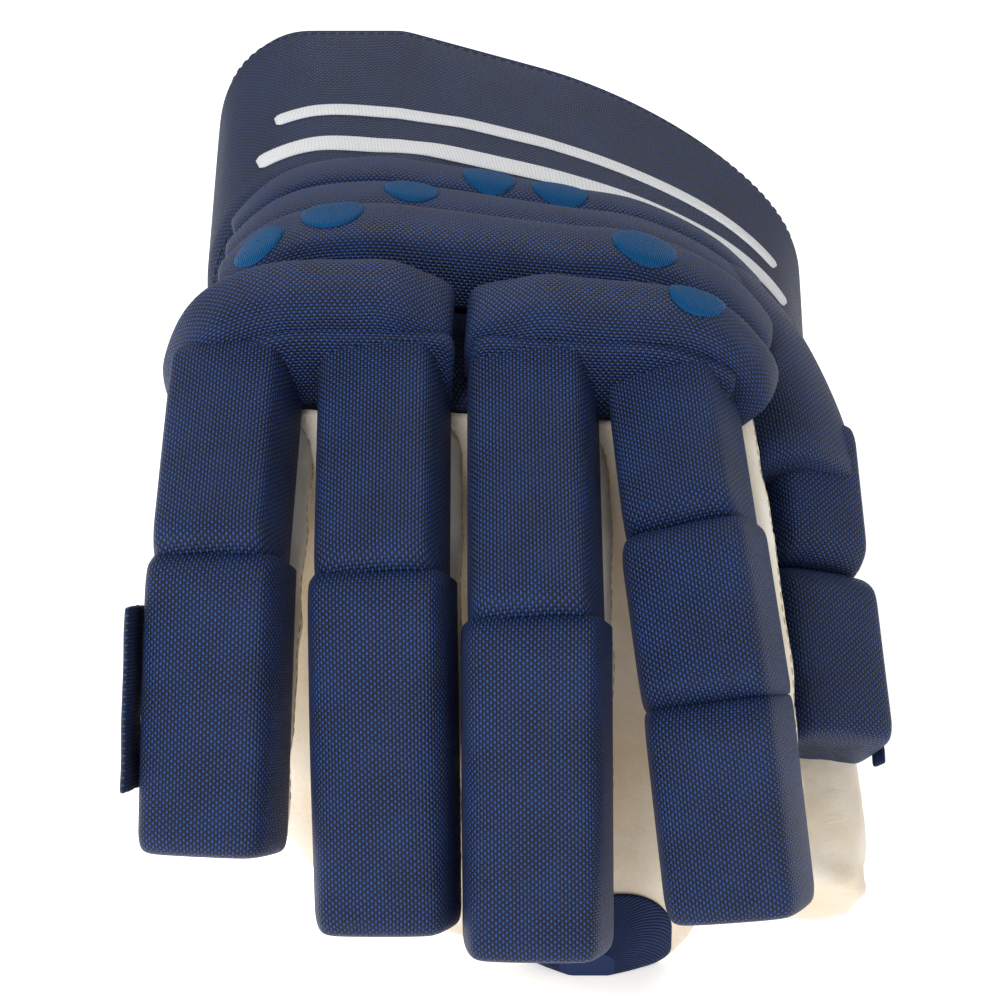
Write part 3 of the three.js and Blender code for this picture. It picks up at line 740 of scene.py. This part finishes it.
# %% Blocks along the fingers
THUMB_SEAT = table("x y z", (75, 46, 112), (77, 17, 81), (80, -15, 46))
THUMB_OUT = (0.5, -0.7, 0.55)
BLOCK_HEIGHT = 21
FIRST_BLOCK = 0.93
OTHER_BLOCKS = 1.03
TWO_BLOCKS = ("proximal", "distal")
SEATS = {**FINGERS, "thumb": THUMB_SEAT}
OUTS = {**OUTWARD, "thumb": THUMB_OUT}
DIGITS = {
    "pinky": dict(base=36, tip=35, parts=TWO_BLOCKS),
    "ring": dict(base=36.5, tip=35, parts=TWO_BLOCKS),
    "middle": dict(base=36, tip=36, parts=TWO_BLOCKS),
    "index": dict(base=35, tip=36, parts=("proximal", "middle", "distal")),
    "thumb": dict(base=33, tip=33, parts=TWO_BLOCKS),
}


def seat_point(rows, i):
    return np.array([rows[key][i] for key in "xyz"])


def block_rows(seat, i, parts, base, tip):
    """Rows of one block, and the planes of its folds as (point, direction into the block)."""
    start, end = seat_point(seat, i), seat_point(seat, i + 1)
    run = unit(end - start)
    trims = []
    head, tail = start, end
    if i > 0:
        before = unit(start - seat_point(seat, i - 1))
        head = start - run * (BLOCK_HEIGHT * math.tan(math.acos(min(run @ before, 1)) / 2) + 0.4)
        normal = unit(run + before)
        trims.append((start + normal * GAP / 2, normal))
    if i < len(parts) - 1:
        after = unit(seat_point(seat, i + 2) - end)
        tail = end + run * (BLOCK_HEIGHT * math.tan(math.acos(min(run @ after, 1)) / 2) + 0.4)
        normal = -unit(run + after)
        trims.append((end + normal * GAP / 2, normal))
    rows = []
    for share in (0, 0.5, 1):
        p = head + (tail - head) * share
        wide = base + (tip - base) * (i + share) / len(parts)
        rows.append((*p, wide * (OTHER_BLOCKS if i else FIRST_BLOCK), BLOCK_HEIGHT))
    return table("x y z width height", *rows), trims


for digit, facts in DIGITS.items():
    for i, part in enumerate(facts["parts"]):
        rows, trims = block_rows(SEATS[digit], i, **facts)
        out_at = functools.partial(lambda out, share: out, OUTS[digit])
        name = f"{digit}_{part}_roll"
        swell = stuffed_roll(name, rows, out_at, FINGER_SECTION, 2.5, 1.2, trims)
        print(f"{digit} {part}: swelled by {swell:.2f} mm")

# %% [markdown]
# ## Walls of suede and nylon
#
# The palm is thin suede and the back of the hand is nylon, both sewn round the hand. A wall has an
# outer and an inner face, joined along its edges, so it has its real thickness. A Solidify
# modifier would thicken a single sheet, but here the inner face is asked of the body too, so it
# stays even round tight corners. Slow noise moves the suede in a little, as a limp palm folds.

# %% A wall between two grids of points
def shell_mesh(name, outer, inner, wrap=False):
    """Quads over both faces and round the free edges. outer and inner: rows x columns x 3, in mm."""
    rows, cols = outer.shape[:2]
    flat = np.concatenate([outer.reshape(-1, 3), inner.reshape(-1, 3)])
    points = (flat + SHIFT) * MM
    spans = cols if wrap else cols - 1
    faces, marks = [], []
    below = rows * cols
    for i in range(rows - 1):
        for j in range(spans):
            k = (j + 1) % cols
            a, b, c, d = i * cols + j, i * cols + k, (i + 1) * cols + k, (i + 1) * cols + j
            faces += [(a, b, c, d), (below + d, below + c, below + b, below + a)]
            corners = [(i, j), (i, j + 1), (i + 1, j + 1), (i + 1, j)]
            marks += [corners, corners[::-1]]
    edge = [[(i, j), (i, j + 1)] for i in (0, rows - 1) for j in range(spans)]
    if not wrap:
        edge += [[(i, j), (i + 1, j)] for j in (0, cols - 1) for i in range(rows - 1)]
    for (i, j), (m, n) in edge:
        a, b = i * cols + j % cols, m * cols + n % cols
        faces.append((a, below + a, below + b, b))
        marks.append([(i, j), (i, j), (m, n), (m, n)])
    mesh = bpy.data.meshes.new(name)
    mesh.from_pydata([tuple(p) for p in points], [], faces)
    middle_row = outer[rows // 2]
    tall = np.linalg.norm(np.diff(outer, axis=0), axis=2).mean(axis=1)
    across = lengths(np.concatenate([middle_row, middle_row[:1]]))
    down = np.concatenate([[0], np.cumsum(tall)]) * MM
    uv = mesh.uv_layers.new(name="Weave").data
    for index, (i, j) in enumerate(mark for face in marks for mark in face):
        uv[index].uv = (across[j], down[i])
    work = bmesh.new()
    work.from_mesh(mesh)
    bmesh.ops.recalc_face_normals(work, faces=work.faces)
    work.to_mesh(mesh)
    work.free()
    return placed(name, mesh)


def close_tip(piece, rows, cols, tip):
    """Closes both faces of a tube at its row called tip, in place of the rim between them."""
    half = rows * cols
    ring = range(tip * cols, tip * cols + cols)
    work = bmesh.new()
    work.from_mesh(piece.data)
    work.verts.ensure_lookup_table()
    rim = []
    for face in work.faces:
        inside = {v.index < half for v in face.verts}
        if len(inside) == 2 and all(v.index % half in ring for v in face.verts):
            rim.append(face)
    bmesh.ops.delete(work, geom=rim, context="FACES_ONLY")
    for start in (ring[0], half + ring[0]):
        work.faces.new([work.verts[start + j] for j in range(cols)])
    bmesh.ops.recalc_face_normals(work, faces=work.faces)
    work.to_mesh(piece.data)
    work.free()


def folds(point, amount, size_mm=22.0, stretch=(1.0, 1.0, 1.0)):
    """How far the cloth lies in at a point: soft ridges of noise, from 0 to amount."""
    p = Vector([point[k] / size_mm / stretch[k] for k in range(3)])
    return amount * min(max(0.5 + noise.noise(p) + 0.5 * noise.noise(p * 2.3), 0.0), 1.0)


def body_wall(name, s_values, arounds, thick, creases=0.0, wrap=False):
    """A wall on the body, with creases that lie in by up to that many millimetres."""
    outer, inner = [], []
    for s in s_values:
        depths = [folds(body_point(s, a), creases) for a in arounds]
        outer.append([body_point(s, a, d) for a, d in zip(arounds, depths)])
        inner.append([body_point(s, a, d + thick) for a, d in zip(arounds, depths)])
    return shell_mesh(name, np.array(outer), np.array(inner), wrap)


# %% [markdown]
# ## Where the fingers pass through
#
# Each finger goes from the hand's space into its stall through a hole in the walls. The holes are
# cut with the stalls' own shapes as solids, by a boolean. The cutters are a little slimmer than the
# stalls, so the wall laps into the suede of the tube as it does at a sewn edge, and no light passes.

# %% Shapes of the stalls, and cutting with them
STALL_TIP = ((6, 1.0), (4, 0.97), (2.5, 0.93), (1.4, 0.86), (0.7, 0.78), (0.2, 0.66), (0, 0.55))
MOUTH_LEAD = 6
STALL_LAP = 0.9
STALL_FULL = 1.3


def stall_rows(name):
    """The stall's centre line lies under the rolls' seat by its own half depth."""
    seat = FINGERS[name]
    count = len(seat["x"])
    rows = []
    for i in range(count):
        tangent, out, side = frame_along(seat, i, OUTWARD[name])
        centre = seat_point(seat, i) - out * (seat["deep"][i] + 0.9)
        rows.append([*centre, seat["wide"][i], seat["deep"][i]])
    lead = frame_along(seat, 0, OUTWARD[name])[0] * -MOUTH_LEAD
    x, y, z, wide, deep = rows[0]
    rows[-1][2] += 1.5
    rows.insert(0, [x + lead[0], y + lead[1], z + lead[2], wide * 0.9, deep])
    return table("x y z wide deep", *rows)


STALL_SIDES = 48
STALL_STEP = 0.09


def stall_rings(rows, out_at, thinner, full, creases=0.0):
    """Rings of a stall's face, drawn in by thinner and widened by full mm beside the rolls.

    It is a soft rounded box that closes at its tip and puckers there.
    """
    last = len(rows["x"]) - 1
    tip_length = np.linalg.norm(seat_point(rows, last) - seat_point(rows, last - 1))
    stations = [(t, 1.0) for t in np.arange(0, last - 7.0 / tip_length, STALL_STEP)]
    stations += [(last - (inset + max(thinner, 0)) / tip_length, share) for inset, share in STALL_TIP]
    rings = []
    for t, share in stations:
        tangent, out, side = frame_along(rows, t, out_at)
        centre = point_along(rows, t)
        free = min(max(t - 1.0, 0.0) / 0.6, 1.0)
        wide = along(rows, "wide", t) + full * free - thinner
        deep = along(rows, "deep", t) - thinner
        near_tip = max(0.0, 1 - (last - t) * tip_length / 26)
        ring = []
        for j in range(STALL_SIDES):
            angle = 2 * math.pi * (j + 0.5) / STALL_SIDES
            c, s = math.cos(angle), math.sin(angle)
            a = math.copysign(abs(c) ** 0.75, c) * wide * share
            b = math.copysign(abs(s) ** 0.75, s) * deep * share
            point = centre + side * a + out * b
            if creases:
                dent = free * folds(point, creases, 9.0, (1, 1, 1.6))
                dent += creases * near_tip * (0.5 + 0.5 * math.sin(9 * angle + 3 * t))
                point = point - unit(side * a + out * b) * dent
            ring.append(point)
        rings.append(np.array(ring))
    return rings


def applied(piece):
    """Replaces a piece's mesh by what its modifiers make of it."""
    made = bpy.data.meshes.new_from_object(piece.evaluated_get(bpy.context.evaluated_depsgraph_get()))
    piece.modifiers.clear()
    old = piece.data
    piece.data = made
    bpy.data.meshes.remove(old)


def cut_out(piece, *cutters):
    """Takes the space of the cutters out of a piece."""
    for cutter in cutters:
        cut = piece.modifiers.new("Cut", "BOOLEAN")
        cut.operation = "DIFFERENCE"
        cut.solver = "MANIFOLD"
        cut.object = cutter
    bpy.context.view_layer.update()
    applied(piece)


STALLS = {name: (stall_rows(name), OUTWARD[name], STALL_FULL) for name in FINGERS}
STALLS["thumb"] = (THUMB, THUMB_STALL_OUT, 0.0)
hulls = [
    ring_mesh(f"hull_{name}", stall_rings(rows, out, STALL_LAP, full))
    for name, (rows, out, full) in STALLS.items()
]
body_rings = [
    np.array([body_point(s, a, -GAP) for a in np.arange(0, 1, 1 / 96)]) for s in np.linspace(0, 14, 85)
]
hand_space = ring_mesh("hand_space", body_rings)
print("stall hulls:", len(hulls))

# %% The palm, the back of the hand and the band at the palm's foot
SEAM = 7
ALL_ROUND = np.arange(0, 1, 1 / 180)
front_rows = np.linspace(2, SEAM, 56)
wrist_rows = np.linspace(SEAM + 0.04, 14, 70)
front_wall = body_wall("palm_front_wall_suede", front_rows, ALL_ROUND, SUEDE, 1.5, wrap=True)
palm = body_wall("palm_panel_suede", wrist_rows, np.linspace(0.502, 0.998, 90), SUEDE, 0.7)
back = body_wall("back_panel_nylon", wrist_rows, np.linspace(0, 0.5, 90), NYLON)
for piece, material, slot, node in (
    (front_wall, SUEDE_CREAM, "suede", "palm_front_wall"),
    (palm, SUEDE_CREAM, "suede", "palm_panel"),
    (back, NYLON_PANEL, "nylon", "back_panel"),
):
    cut_out(piece, *hulls)
    finish_piece(piece, material, [node], levels=0)
    print(node, "faces:", len(piece.data.polygons))

band_rows = np.linspace(0, 1.97, 24)
band_skin, band_lining = [], []
for s in band_rows:
    further_in = s + 0.6 * (1 - s / 2)
    band_skin.append([body_point(s, a) for a in ALL_ROUND])
    band_lining.append([body_point(further_in, a, SUEDE) for a in ALL_ROUND])
band = shell_mesh("palm_heel_band_twill", np.array(band_skin), np.array(band_lining), wrap=True)
close_tip(band, len(band_rows), len(ALL_ROUND), 0)
finish_piece(band, TAPE_NAVY, ["palm_heel_band"], levels=0)
print("band faces:", len(band.data.polygons))

# %% [markdown]
# ## Stalls
#
# A stall is a tube of suede that holds one finger under its rolls. It is sewn from a front and a
# back with a seam along both sides, and gathered at the tip, so it puckers there. A closed block
# would look the same from the front, but the glove is open at the wrist, so the tubes are thin
# shells, and what would reach into the hand's space is cut away.

# %% Suede stalls with side seams
for name, (rows, out, full) in STALLS.items():
    outer = np.array(stall_rings(rows, out, 0.0, full, creases=1.1))
    inner = np.array(stall_rings(rows, out, SUEDE, full, creases=1.1))
    tube = shell_mesh(f"{name}_stall_suede", outer, inner, wrap=True)
    close_tip(tube, *outer.shape[:2], len(outer) - 1)
    cut_out(tube, hand_space)
    finish_piece(tube, SUEDE_CREAM, [f"{name}_sleeve"], levels=0)
    print(name, "stall faces:", len(tube.data.polygons))
for helper in (*hulls, hand_space):
    bpy.data.objects.remove(helper)

# %% [markdown]
# ## The cuff
#
# The cuff is a foam pad between two layers of nylon, thickest in the middle and pressed thin along
# its sewn edges. The wings at its sides are the same with less foam, and twill tape binds the rim.
# All four are pads on the body: their inner face is pinned to it, and the outer one may swell.

# %% Padded sheets on the body
def soft_edge(distance, width):
    """How full a pad is at a distance from its sewn edge."""
    reach = min(max(distance / width, 0.0), 1.0)
    return math.sqrt(1 - (1 - reach) ** 2)


def padded_sheet(name, s_values, arounds, thick, edge=9.0, thin=0.35, pressure=2.0):
    """A pad on the body between rows and places round it, from GAP off the body's face outward."""
    outer, inner = [], []
    low, high = s_values[0], s_values[-1]
    for s in s_values:
        ring_out, ring_in = [], []
        for a in arounds:
            here = body_point(s, a)
            from_rows = min(np.linalg.norm(here - body_point(row, a)) for row in (low, high))
            ends = (body_point(s, arounds[0]), body_point(s, arounds[-1]))
            from_ends = min(np.linalg.norm(here - end) for end in ends)
            full = soft_edge(from_rows, edge) * soft_edge(from_ends, edge)
            ring_out.append(body_point(s, a, -(thick * (thin + (1 - thin) * full))))
            ring_in.append(body_point(s, a, -GAP))
        outer.append(ring_out)
        inner.append(ring_in)
    piece = shell_mesh(f"{name}_cover", np.array(outer), np.array(inner))
    rows, cols = len(s_values), len(arounds)
    pinned = [(rows * cols + k, 1.0) for k in range(rows * cols)]
    for i in range(rows):
        for j in range(cols):
            if min(i, rows - 1 - i, j, cols - 1 - j) < 2:
                pinned.append((i * cols + j, 1.0))
    moved = soften(piece, pinned, pressure, 1.2)
    return piece, moved


CUFF_FRONT = 11.78
RIM_FROM = 13.86
CUFF_PARTS = {
    "cuff_pad": dict(start=0.018, end=0.468, thick=CUFF_THICK),
    "ulnar_wing": dict(start=0.472, end=0.58, thick=WING_THICK),
    "radial_wing": dict(start=-0.1, end=0.014, thick=WING_THICK),
}
cuff_rows = np.linspace(CUFF_FRONT, RIM_FROM - 0.02, 46)
for name, facts in CUFF_PARTS.items():
    count = max(int((facts["end"] - facts["start"]) * 260), 14)
    arounds = np.linspace(facts["start"], facts["end"], count)
    piece, moved = padded_sheet(name, cuff_rows, arounds, facts["thick"])
    finish_piece(piece, NYLON_PANEL, [name])
    print(f"{name}: swelled by {moved:.2f} mm")

rim_rows, rim_around = np.linspace(RIM_FROM, 14, 9), np.linspace(-0.1, 0.58, 190)
tape = dict(edge=3.0, thin=0.5, pressure=0.0)
binding, moved = padded_sheet("cuff_binding", rim_rows, rim_around, WING_THICK + 1, **tape)
finish_piece(binding, TAPE_NAVY, ["cuff_binding"])
print(f"binding: swelled by {moved:.2f} mm")

# %% [markdown]
# ## Side roll and knuckle strips
#
# A broad padded roll runs from the edge of the hand down to the thumb. Two narrow strips stand in
# front of the fourth roll and close it off above the fingers. They are stuffed like the other
# rolls, so they reuse the same function with other sections and less pressure.

# %% Side roll and knuckle strips
RADIAL_ROLL = table(
    "x y z width height",
    (58, 84, 141, 28, 14),
    (65, 62, 130, 34, 18),
    (70, 40, 115, 38, 21),
    (73, 25, 103, 40, 20),
)
SIDE_SECTION = (
    (0.98, 0.0),
    (1.0, 0.2),
    (0.98, 0.45),
    (0.9, 0.68),
    (0.76, 0.85),
    (0.55, 0.95),
    (0.3, 0.99),
)


def side_out(share):
    return (0.75, -0.25, 0.6)


def strip_out(share):
    return (0.12, -0.3, 1)


swell = stuffed_roll("radial_side_roll", RADIAL_ROLL, side_out, SIDE_SECTION, 2.0, 1.6)
print(f"side roll: swelled by {swell:.2f} mm")

STRIPS = {"knuckle_strip_right": (0.135, 0.261), "knuckle_strip_left": (0.269, 0.38)}
STRIP_ROW = 7.1
STRIP_WIDE = 6
STRIP_HIGH = 21
for name, (start, end) in STRIPS.items():
    seats = [body_point(STRIP_ROW, a) for a in np.linspace(start, end, 5)]
    rows = table("x y z width height", *((*seat, STRIP_WIDE, STRIP_HIGH) for seat in seats))
    swell = stuffed_roll(name, rows, strip_out, FINGER_SECTION, 1.0, 0.6)
    print(f"{name}: swelled by {swell:.2f} mm")

# %% [markdown]
# ## Flaps and the tab
#
# Beside the little finger and the thumb hang flaps of the same nylon without padding, cut raw, and
# a short tab of tape shows beside the thumb. They are thin walls, with a slow wave along their
# length and a little noise on the cut ends. A simulation would drape them, but they are too short
# and stiff for that to show.

# %% Flaps and the tab
def side_by_thumb(t, aside, forward):
    """A point beside the thumb's seat, aside and forward of it in mm."""
    tangent, out, side = frame_along(THUMB_SEAT, 1.5, THUMB_OUT)
    return point_along(THUMB_SEAT, t) + side * aside + out * forward


THUMB_SIDE = frame_along(THUMB_SEAT, 1.5, THUMB_OUT)[2]
FLAPS = {
    "pinky_side_flap": dict(
        start=np.array((-86, -47, 102)),
        end=np.array((-87.4, -62, 60)),
        out=np.array((-1, 0.15, 0)),
        width=15,
        height=3.2,
    ),
    "thumb_side_flap": dict(
        start=side_by_thumb(0.8, 15.5, 9),
        end=side_by_thumb(2, 15.5, 9),
        out=THUMB_SIDE,
        width=15,
        height=3.6,
    ),
    "thumb_tape_tab": dict(
        start=side_by_thumb(1.8, -15, 7),
        end=side_by_thumb(2.1, -15, 7),
        out=-THUMB_SIDE,
        width=5,
        height=3.4,
    ),
}


def flat_strip(name, start, end, out, width, height, material):
    """A thin strip whose cut ends are a little ragged. Its upper face lies height mm outward."""
    run = unit(end - start)
    out = unit(out - run * (out @ run))
    side = np.cross(run, out)
    length = np.linalg.norm(end - start)
    floor = height - 2.0
    outer, inner = [], []
    for t in np.linspace(0, 1, max(int(length / 1.2), 6)):
        ring_out, ring_in = [], []
        for a in np.linspace(-1, 1, max(int(width / 1.2), 5)):
            ragged = 0.9 * noise.noise(Vector((a * 6, t * 2, 0))) if t in (0.0, 1.0) else 0.0
            wave = 0.35 * noise.noise(Vector((a * 1.5, t * 4, 7)))
            p = start + (end - start) * t + run * ragged + side * (a * width / 2)
            thin = 0.55 + 0.45 * soft_edge((1 - abs(a)) * width / 2, 1.5)
            ring_out.append(p + out * (floor + 1.6 * thin + wave))
            ring_in.append(p + out * (floor + wave))
        outer.append(ring_out)
        inner.append(ring_in)
    piece = shell_mesh(f"{name}_cloth", np.array(outer), np.array(inner))
    finish_piece(piece, material, [name])
    print(f"{name}: {length:.1f} mm long")


for name, facts in FLAPS.items():
    flat_strip(name, **facts, material=TAPE_NAVY if name.endswith("tab") else NYLON_PANEL)

# %% [markdown]
# ## Embroidery and seams
#
# Blue ovals and white stripes are satin stitch: a dense, slightly domed layer of thread over the
# nylon. A shrinkwrap modifier could lay them on, but it slides over edges. Here each is a grid of
# points dropped along one direction onto the finished cover, so it follows every swell.

# %% Dropping points onto finished pieces
def surface_of(piece_name):
    """A search tree of a piece's faces, made after all of its modifiers."""
    piece = bpy.data.objects[piece_name]
    return BVHTree.FromObject(piece, bpy.context.evaluated_depsgraph_get())


def drop(tree, point, outward, reach=26.0):
    """Where a point, in the tables' millimetres, lands when it comes in from outside."""
    outward = unit(np.array(outward, float))
    start = (np.array(point, float) + SHIFT + outward * reach) * MM
    spot, normal, index, distance = tree.ray_cast(Vector(start), Vector(-outward), 2 * reach * MM)
    if spot is None:
        aim = Vector((np.array(point, float) + SHIFT) * MM)
        spot, normal = tree.find_nearest(aim)[0], outward
    return np.array(spot) / MM - SHIFT, np.array(normal)


def satin_oval(name, tree, centre, outward, across, long, wide):
    """An oval of blue satin stitch, long and wide in mm, lying on the piece below."""
    outward = unit(np.array(outward, float))
    across = unit(np.array(across, float) - outward * (np.array(across, float) @ outward))
    other = np.cross(outward, across)
    outer, inner = [], []
    for r in np.linspace(0.02, 1, 9):
        ring_out, ring_in = [], []
        for angle in np.arange(0, 2 * math.pi, math.pi / 28):
            guess = centre + across * (r * long / 2 * math.cos(angle))
            guess = guess + other * (r * wide / 2 * math.sin(angle))
            spot, _ = drop(tree, guess, outward)
            ring_out.append(spot + outward * (0.25 + 0.65 * math.sqrt(max(1 - r**4, 0.0))))
            ring_in.append(spot + outward * 0.02)
        outer.append(ring_out)
        inner.append(ring_in)
    piece = shell_mesh(f"{name}_stitching", np.array(outer), np.array(inner), wrap=True)
    flat = piece.data.uv_layers["Weave"].data
    for loop in piece.data.loops:
        p = np.array(piece.data.vertices[loop.vertex_index].co)
        flat[loop.index].uv = (p @ across, p @ other)
    finish_piece(piece, SATIN_BLUE, [name], levels=0)


def satin_stripe(name, tree, line, width):
    """A stripe of white satin stitch along points with outward directions."""
    points = [p for p, out in line]
    outer, inner = [], []
    for i, (p, out) in enumerate(line):
        run = unit(points[min(i + 1, len(points) - 1)] - points[max(i - 1, 0)])
        side = unit(np.cross(run, out))
        end = soft_edge(min(i, len(line) - 1 - i) + 0.4, 2.0)
        ring_out, ring_in = [], []
        for a in np.linspace(-1, 1, 11):
            spot, _ = drop(tree, p + side * (a * width / 2 * end), out)
            ring_out.append(spot + out * (0.2 + 0.6 * math.sqrt(max(1 - a**4, 0.0)) * end))
            ring_in.append(spot + out * 0.02)
        outer.append(ring_out)
        inner.append(ring_in)
    piece = shell_mesh(name, np.array(outer), np.array(inner))
    finish_piece(piece, SATIN_WHITE, [], levels=0)
    flat = piece.data.uv_layers["Weave"].data
    for item in flat:
        item.uv = (item.uv[1], item.uv[0])


# %% [markdown]
# ## Stitches
#
# A lockstitch shows as a row of short threads with a gap where the needle went in. Bump on the
# cloth would vanish at the edges, so each stitch is a small capsule of its own, half sunk in the
# cloth, and a whole row is one mesh.

# %% A row of stitches
STITCH_SHAPE = ((0.0, 0.3), (0.12, 0.85), (0.3, 1.0), (0.7, 1.0), (0.88, 0.85), (1.0, 0.3))


def stitches(name, line, material, pitch=3.0, length=2.1, radius=0.28):
    """Stitches along points with outward directions, a pitch apart."""
    points = np.array([p for p, out in line])
    outs = np.array([unit(np.array(out, float)) for p, out in line])
    at = lengths(points) / MM
    vertices, faces = [], []
    shape = STITCH_SHAPE
    for begin in np.arange(0, at[-1] - length, pitch):
        middle = begin + length / 2
        here = np.array([np.interp(middle, at, points[:, k]) for k in range(3)])
        ahead = np.array([np.interp(middle + length / 2, at, points[:, k]) for k in range(3)])
        out = unit(np.array([np.interp(middle, at, outs[:, k]) for k in range(3)]))
        run = unit(ahead - here)
        side = np.cross(run, out)
        base = len(vertices)
        for share, thick in shape:
            for j in range(6):
                angle = math.pi * j / 3
                spot = here + run * ((share - 0.5) * length) + out * (radius * 0.2 * thick)
                spot = spot + (side * math.cos(angle) + out * math.sin(angle)) * radius * thick
                vertices.append(tuple((spot + SHIFT) * MM))
        for i in range(len(shape) - 1):
            for j in range(6):
                k = (j + 1) % 6
                low, high = base + 6 * i, base + 6 * i + 6
                faces.append((low + j, low + k, high + k, high + j))
        faces.append(tuple(base + j for j in range(5, -1, -1)))
        faces.append(tuple(base + 6 * (len(shape) - 1) + j for j in range(6)))
    mesh = bpy.data.meshes.new(name)
    mesh.from_pydata(vertices, [], faces)
    piece = placed(name, mesh)
    piece.data.materials.append(material)
    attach(piece, "root")


# %% [markdown]
# ## Blue ovals and white stripes
#
# Seven ovals are scattered over the rolls, each at its own size and turn. Two stripes run across
# the cuff. Both are laid on when the covers have swollen, because the simulation moves them.

# %% Blue ovals
OVALS = (
    ("roll_3", (-63, 38, 168), 13.0, 15.0, 0.25),
    ("roll_3", (-44, 44, 176), 16.5, 19.0, 0.1),
    ("roll_2", (-24, 71, 176), 15.0, 17.0, 0.0),
    ("roll_1", (-3, 100, 175), 15.0, 17.0, -0.1),
    ("roll_1", (17, 99, 170), 16.0, 14.5, -0.2),
    ("roll_3", (38, 40, 166), 17.5, 19.0, -0.2),
    ("roll_4_right", (50, 12, 159), 14.0, 18.0, -0.4),
)
for i, (on, centre, long, wide, turn) in enumerate(OVALS):
    name, tree = f"oval_patch_{i + 1}", surface_of(f"{on}_cover")
    across = (math.cos(turn), math.sin(turn), 0)
    satin_oval(name, tree, np.array(centre, float), (0, 0, 1), across, long, wide)
print("ovals:", len(OVALS))

# %% White stripes across the cuff
STRIPES = table("row start end width", (12.32, 0.11, 0.36, 8), (12.72, 0.12, 0.35, 6))
cuff_tree = surface_of("cuff_pad_cover")
for i in range(len(STRIPES["row"])):
    s, start, end, width = (STRIPES[key][i] for key in ("row", "start", "end", "width"))
    line = [(body_point(s, a, -CUFF_THICK), body_out(s, a)) for a in np.linspace(start, end, 120)]
    satin_stripe(f"cuff_stripe_{i + 1}", cuff_tree, line, width)
print("stripes:", len(STRIPES["row"]))


# %% Lines of stitches
def on_surface(tree, line):
    """The line's points, moved onto the surface below."""
    return [drop(tree, p, out, reach=8.0) for p, out in line]


for row, key in ((CUFF_FRONT + 0.14, "front"), (RIM_FROM - 0.1, "rim")):
    arounds = np.linspace(0.03, 0.46, 120)
    line = [(body_point(row, a, -CUFF_THICK / 2), body_out(row, a)) for a in arounds]
    stitches(f"cuff_{key}_stitches", on_surface(cuff_tree, line), THREAD_NAVY)
for name, (rows, out, full) in STALLS.items():
    tube = surface_of(f"{name}_stall_suede")
    last = len(rows["x"]) - 1
    for key, way in (("left", 1), ("right", -1)):
        line = []
        for t in np.linspace(1.15, last - 0.2, 60):
            tangent, outward, side = frame_along(rows, t, out)
            line.append((point_along(rows, t) + side * way * along(rows, "wide", t), side * way))
        stitches(f"{name}_{key}_seam", on_surface(tube, line), THREAD_CREAM, pitch=3.2, radius=0.24)

# %% [markdown]
# ## Floor, light and camera
#
# The glove was shot on bright white paper, which leaves hardly a shadow. A plain white floor would
# turn grey, so it also gives off some light. A soft box from the upper left shapes the rolls, two
# weaker ones fill the right side and the back. A long lens from 20 degrees above keeps the
# fingers nearly parallel.

# %% Floor, light and camera
EYE = np.array([0.0, -671.5, 356.5])
CAMERA_PITCH = math.radians(90 - 20)
LENS = 100.8
SENSOR = 36.0

floor_mesh = bpy.data.meshes.new("floor")
R = 6.0
floor_mesh.from_pydata([(-R, -R, 0), (R, -R, 0), (R, R, 0), (-R, R, 0)], [], [(0, 1, 2, 3)])
floor = placed("floor", floor_mesh)
paper, paper_tree, paper_shader = new_material("white_paper")
paper_shader.inputs["Base Color"].default_value = (0.93, 0.93, 0.93, 1)
paper_shader.inputs["Roughness"].default_value = 0.9
paper_shader.inputs["Emission Color"].default_value = (1, 1, 1, 1)
paper_shader.inputs["Emission Strength"].default_value = 0.6
floor_mesh.materials.append(paper)


def soft_box(name, place, size, watts, aim=(0, 0, 0.08)):
    """A square soft box at place, metres, turned to the aim."""
    data = bpy.data.lights.new(name, "AREA")
    data.shape = "SQUARE"
    data.size = size
    data.energy = watts
    lamp = bpy.data.objects.new(name, data)
    bpy.context.scene.collection.objects.link(lamp)
    lamp.location = place
    lamp.rotation_euler = (Vector(aim) - Vector(place)).to_track_quat("-Z", "Y").to_euler()


soft_box("key", (-0.75, -1.1, 1.15), 0.7, 21)
soft_box("fill", (1.1, -1.5, 0.7), 1.4, 4)
soft_box("back", (0.1, 1.1, 1.4), 1.2, 7)

world = bpy.data.worlds.new("studio")
bpy.context.scene.world = world
world.use_nodes = True
world.node_tree.nodes["Background"].inputs[0].default_value = (1, 1, 1, 1)
world.node_tree.nodes["Background"].inputs[1].default_value = 0.4

camera_data = bpy.data.cameras.new("camera")
camera_data.lens = LENS
camera_data.sensor_width = SENSOR
camera = bpy.data.objects.new("camera", camera_data)
bpy.context.scene.collection.objects.link(camera)
camera.location = (EYE + SHIFT) * MM
camera.rotation_euler = (CAMERA_PITCH, 0, 0)
bpy.context.scene.camera = camera
bpy.context.scene.view_settings.view_transform = "Standard"
print("camera, metres:", [round(c, 3) for c in camera.location], " lens:", LENS)
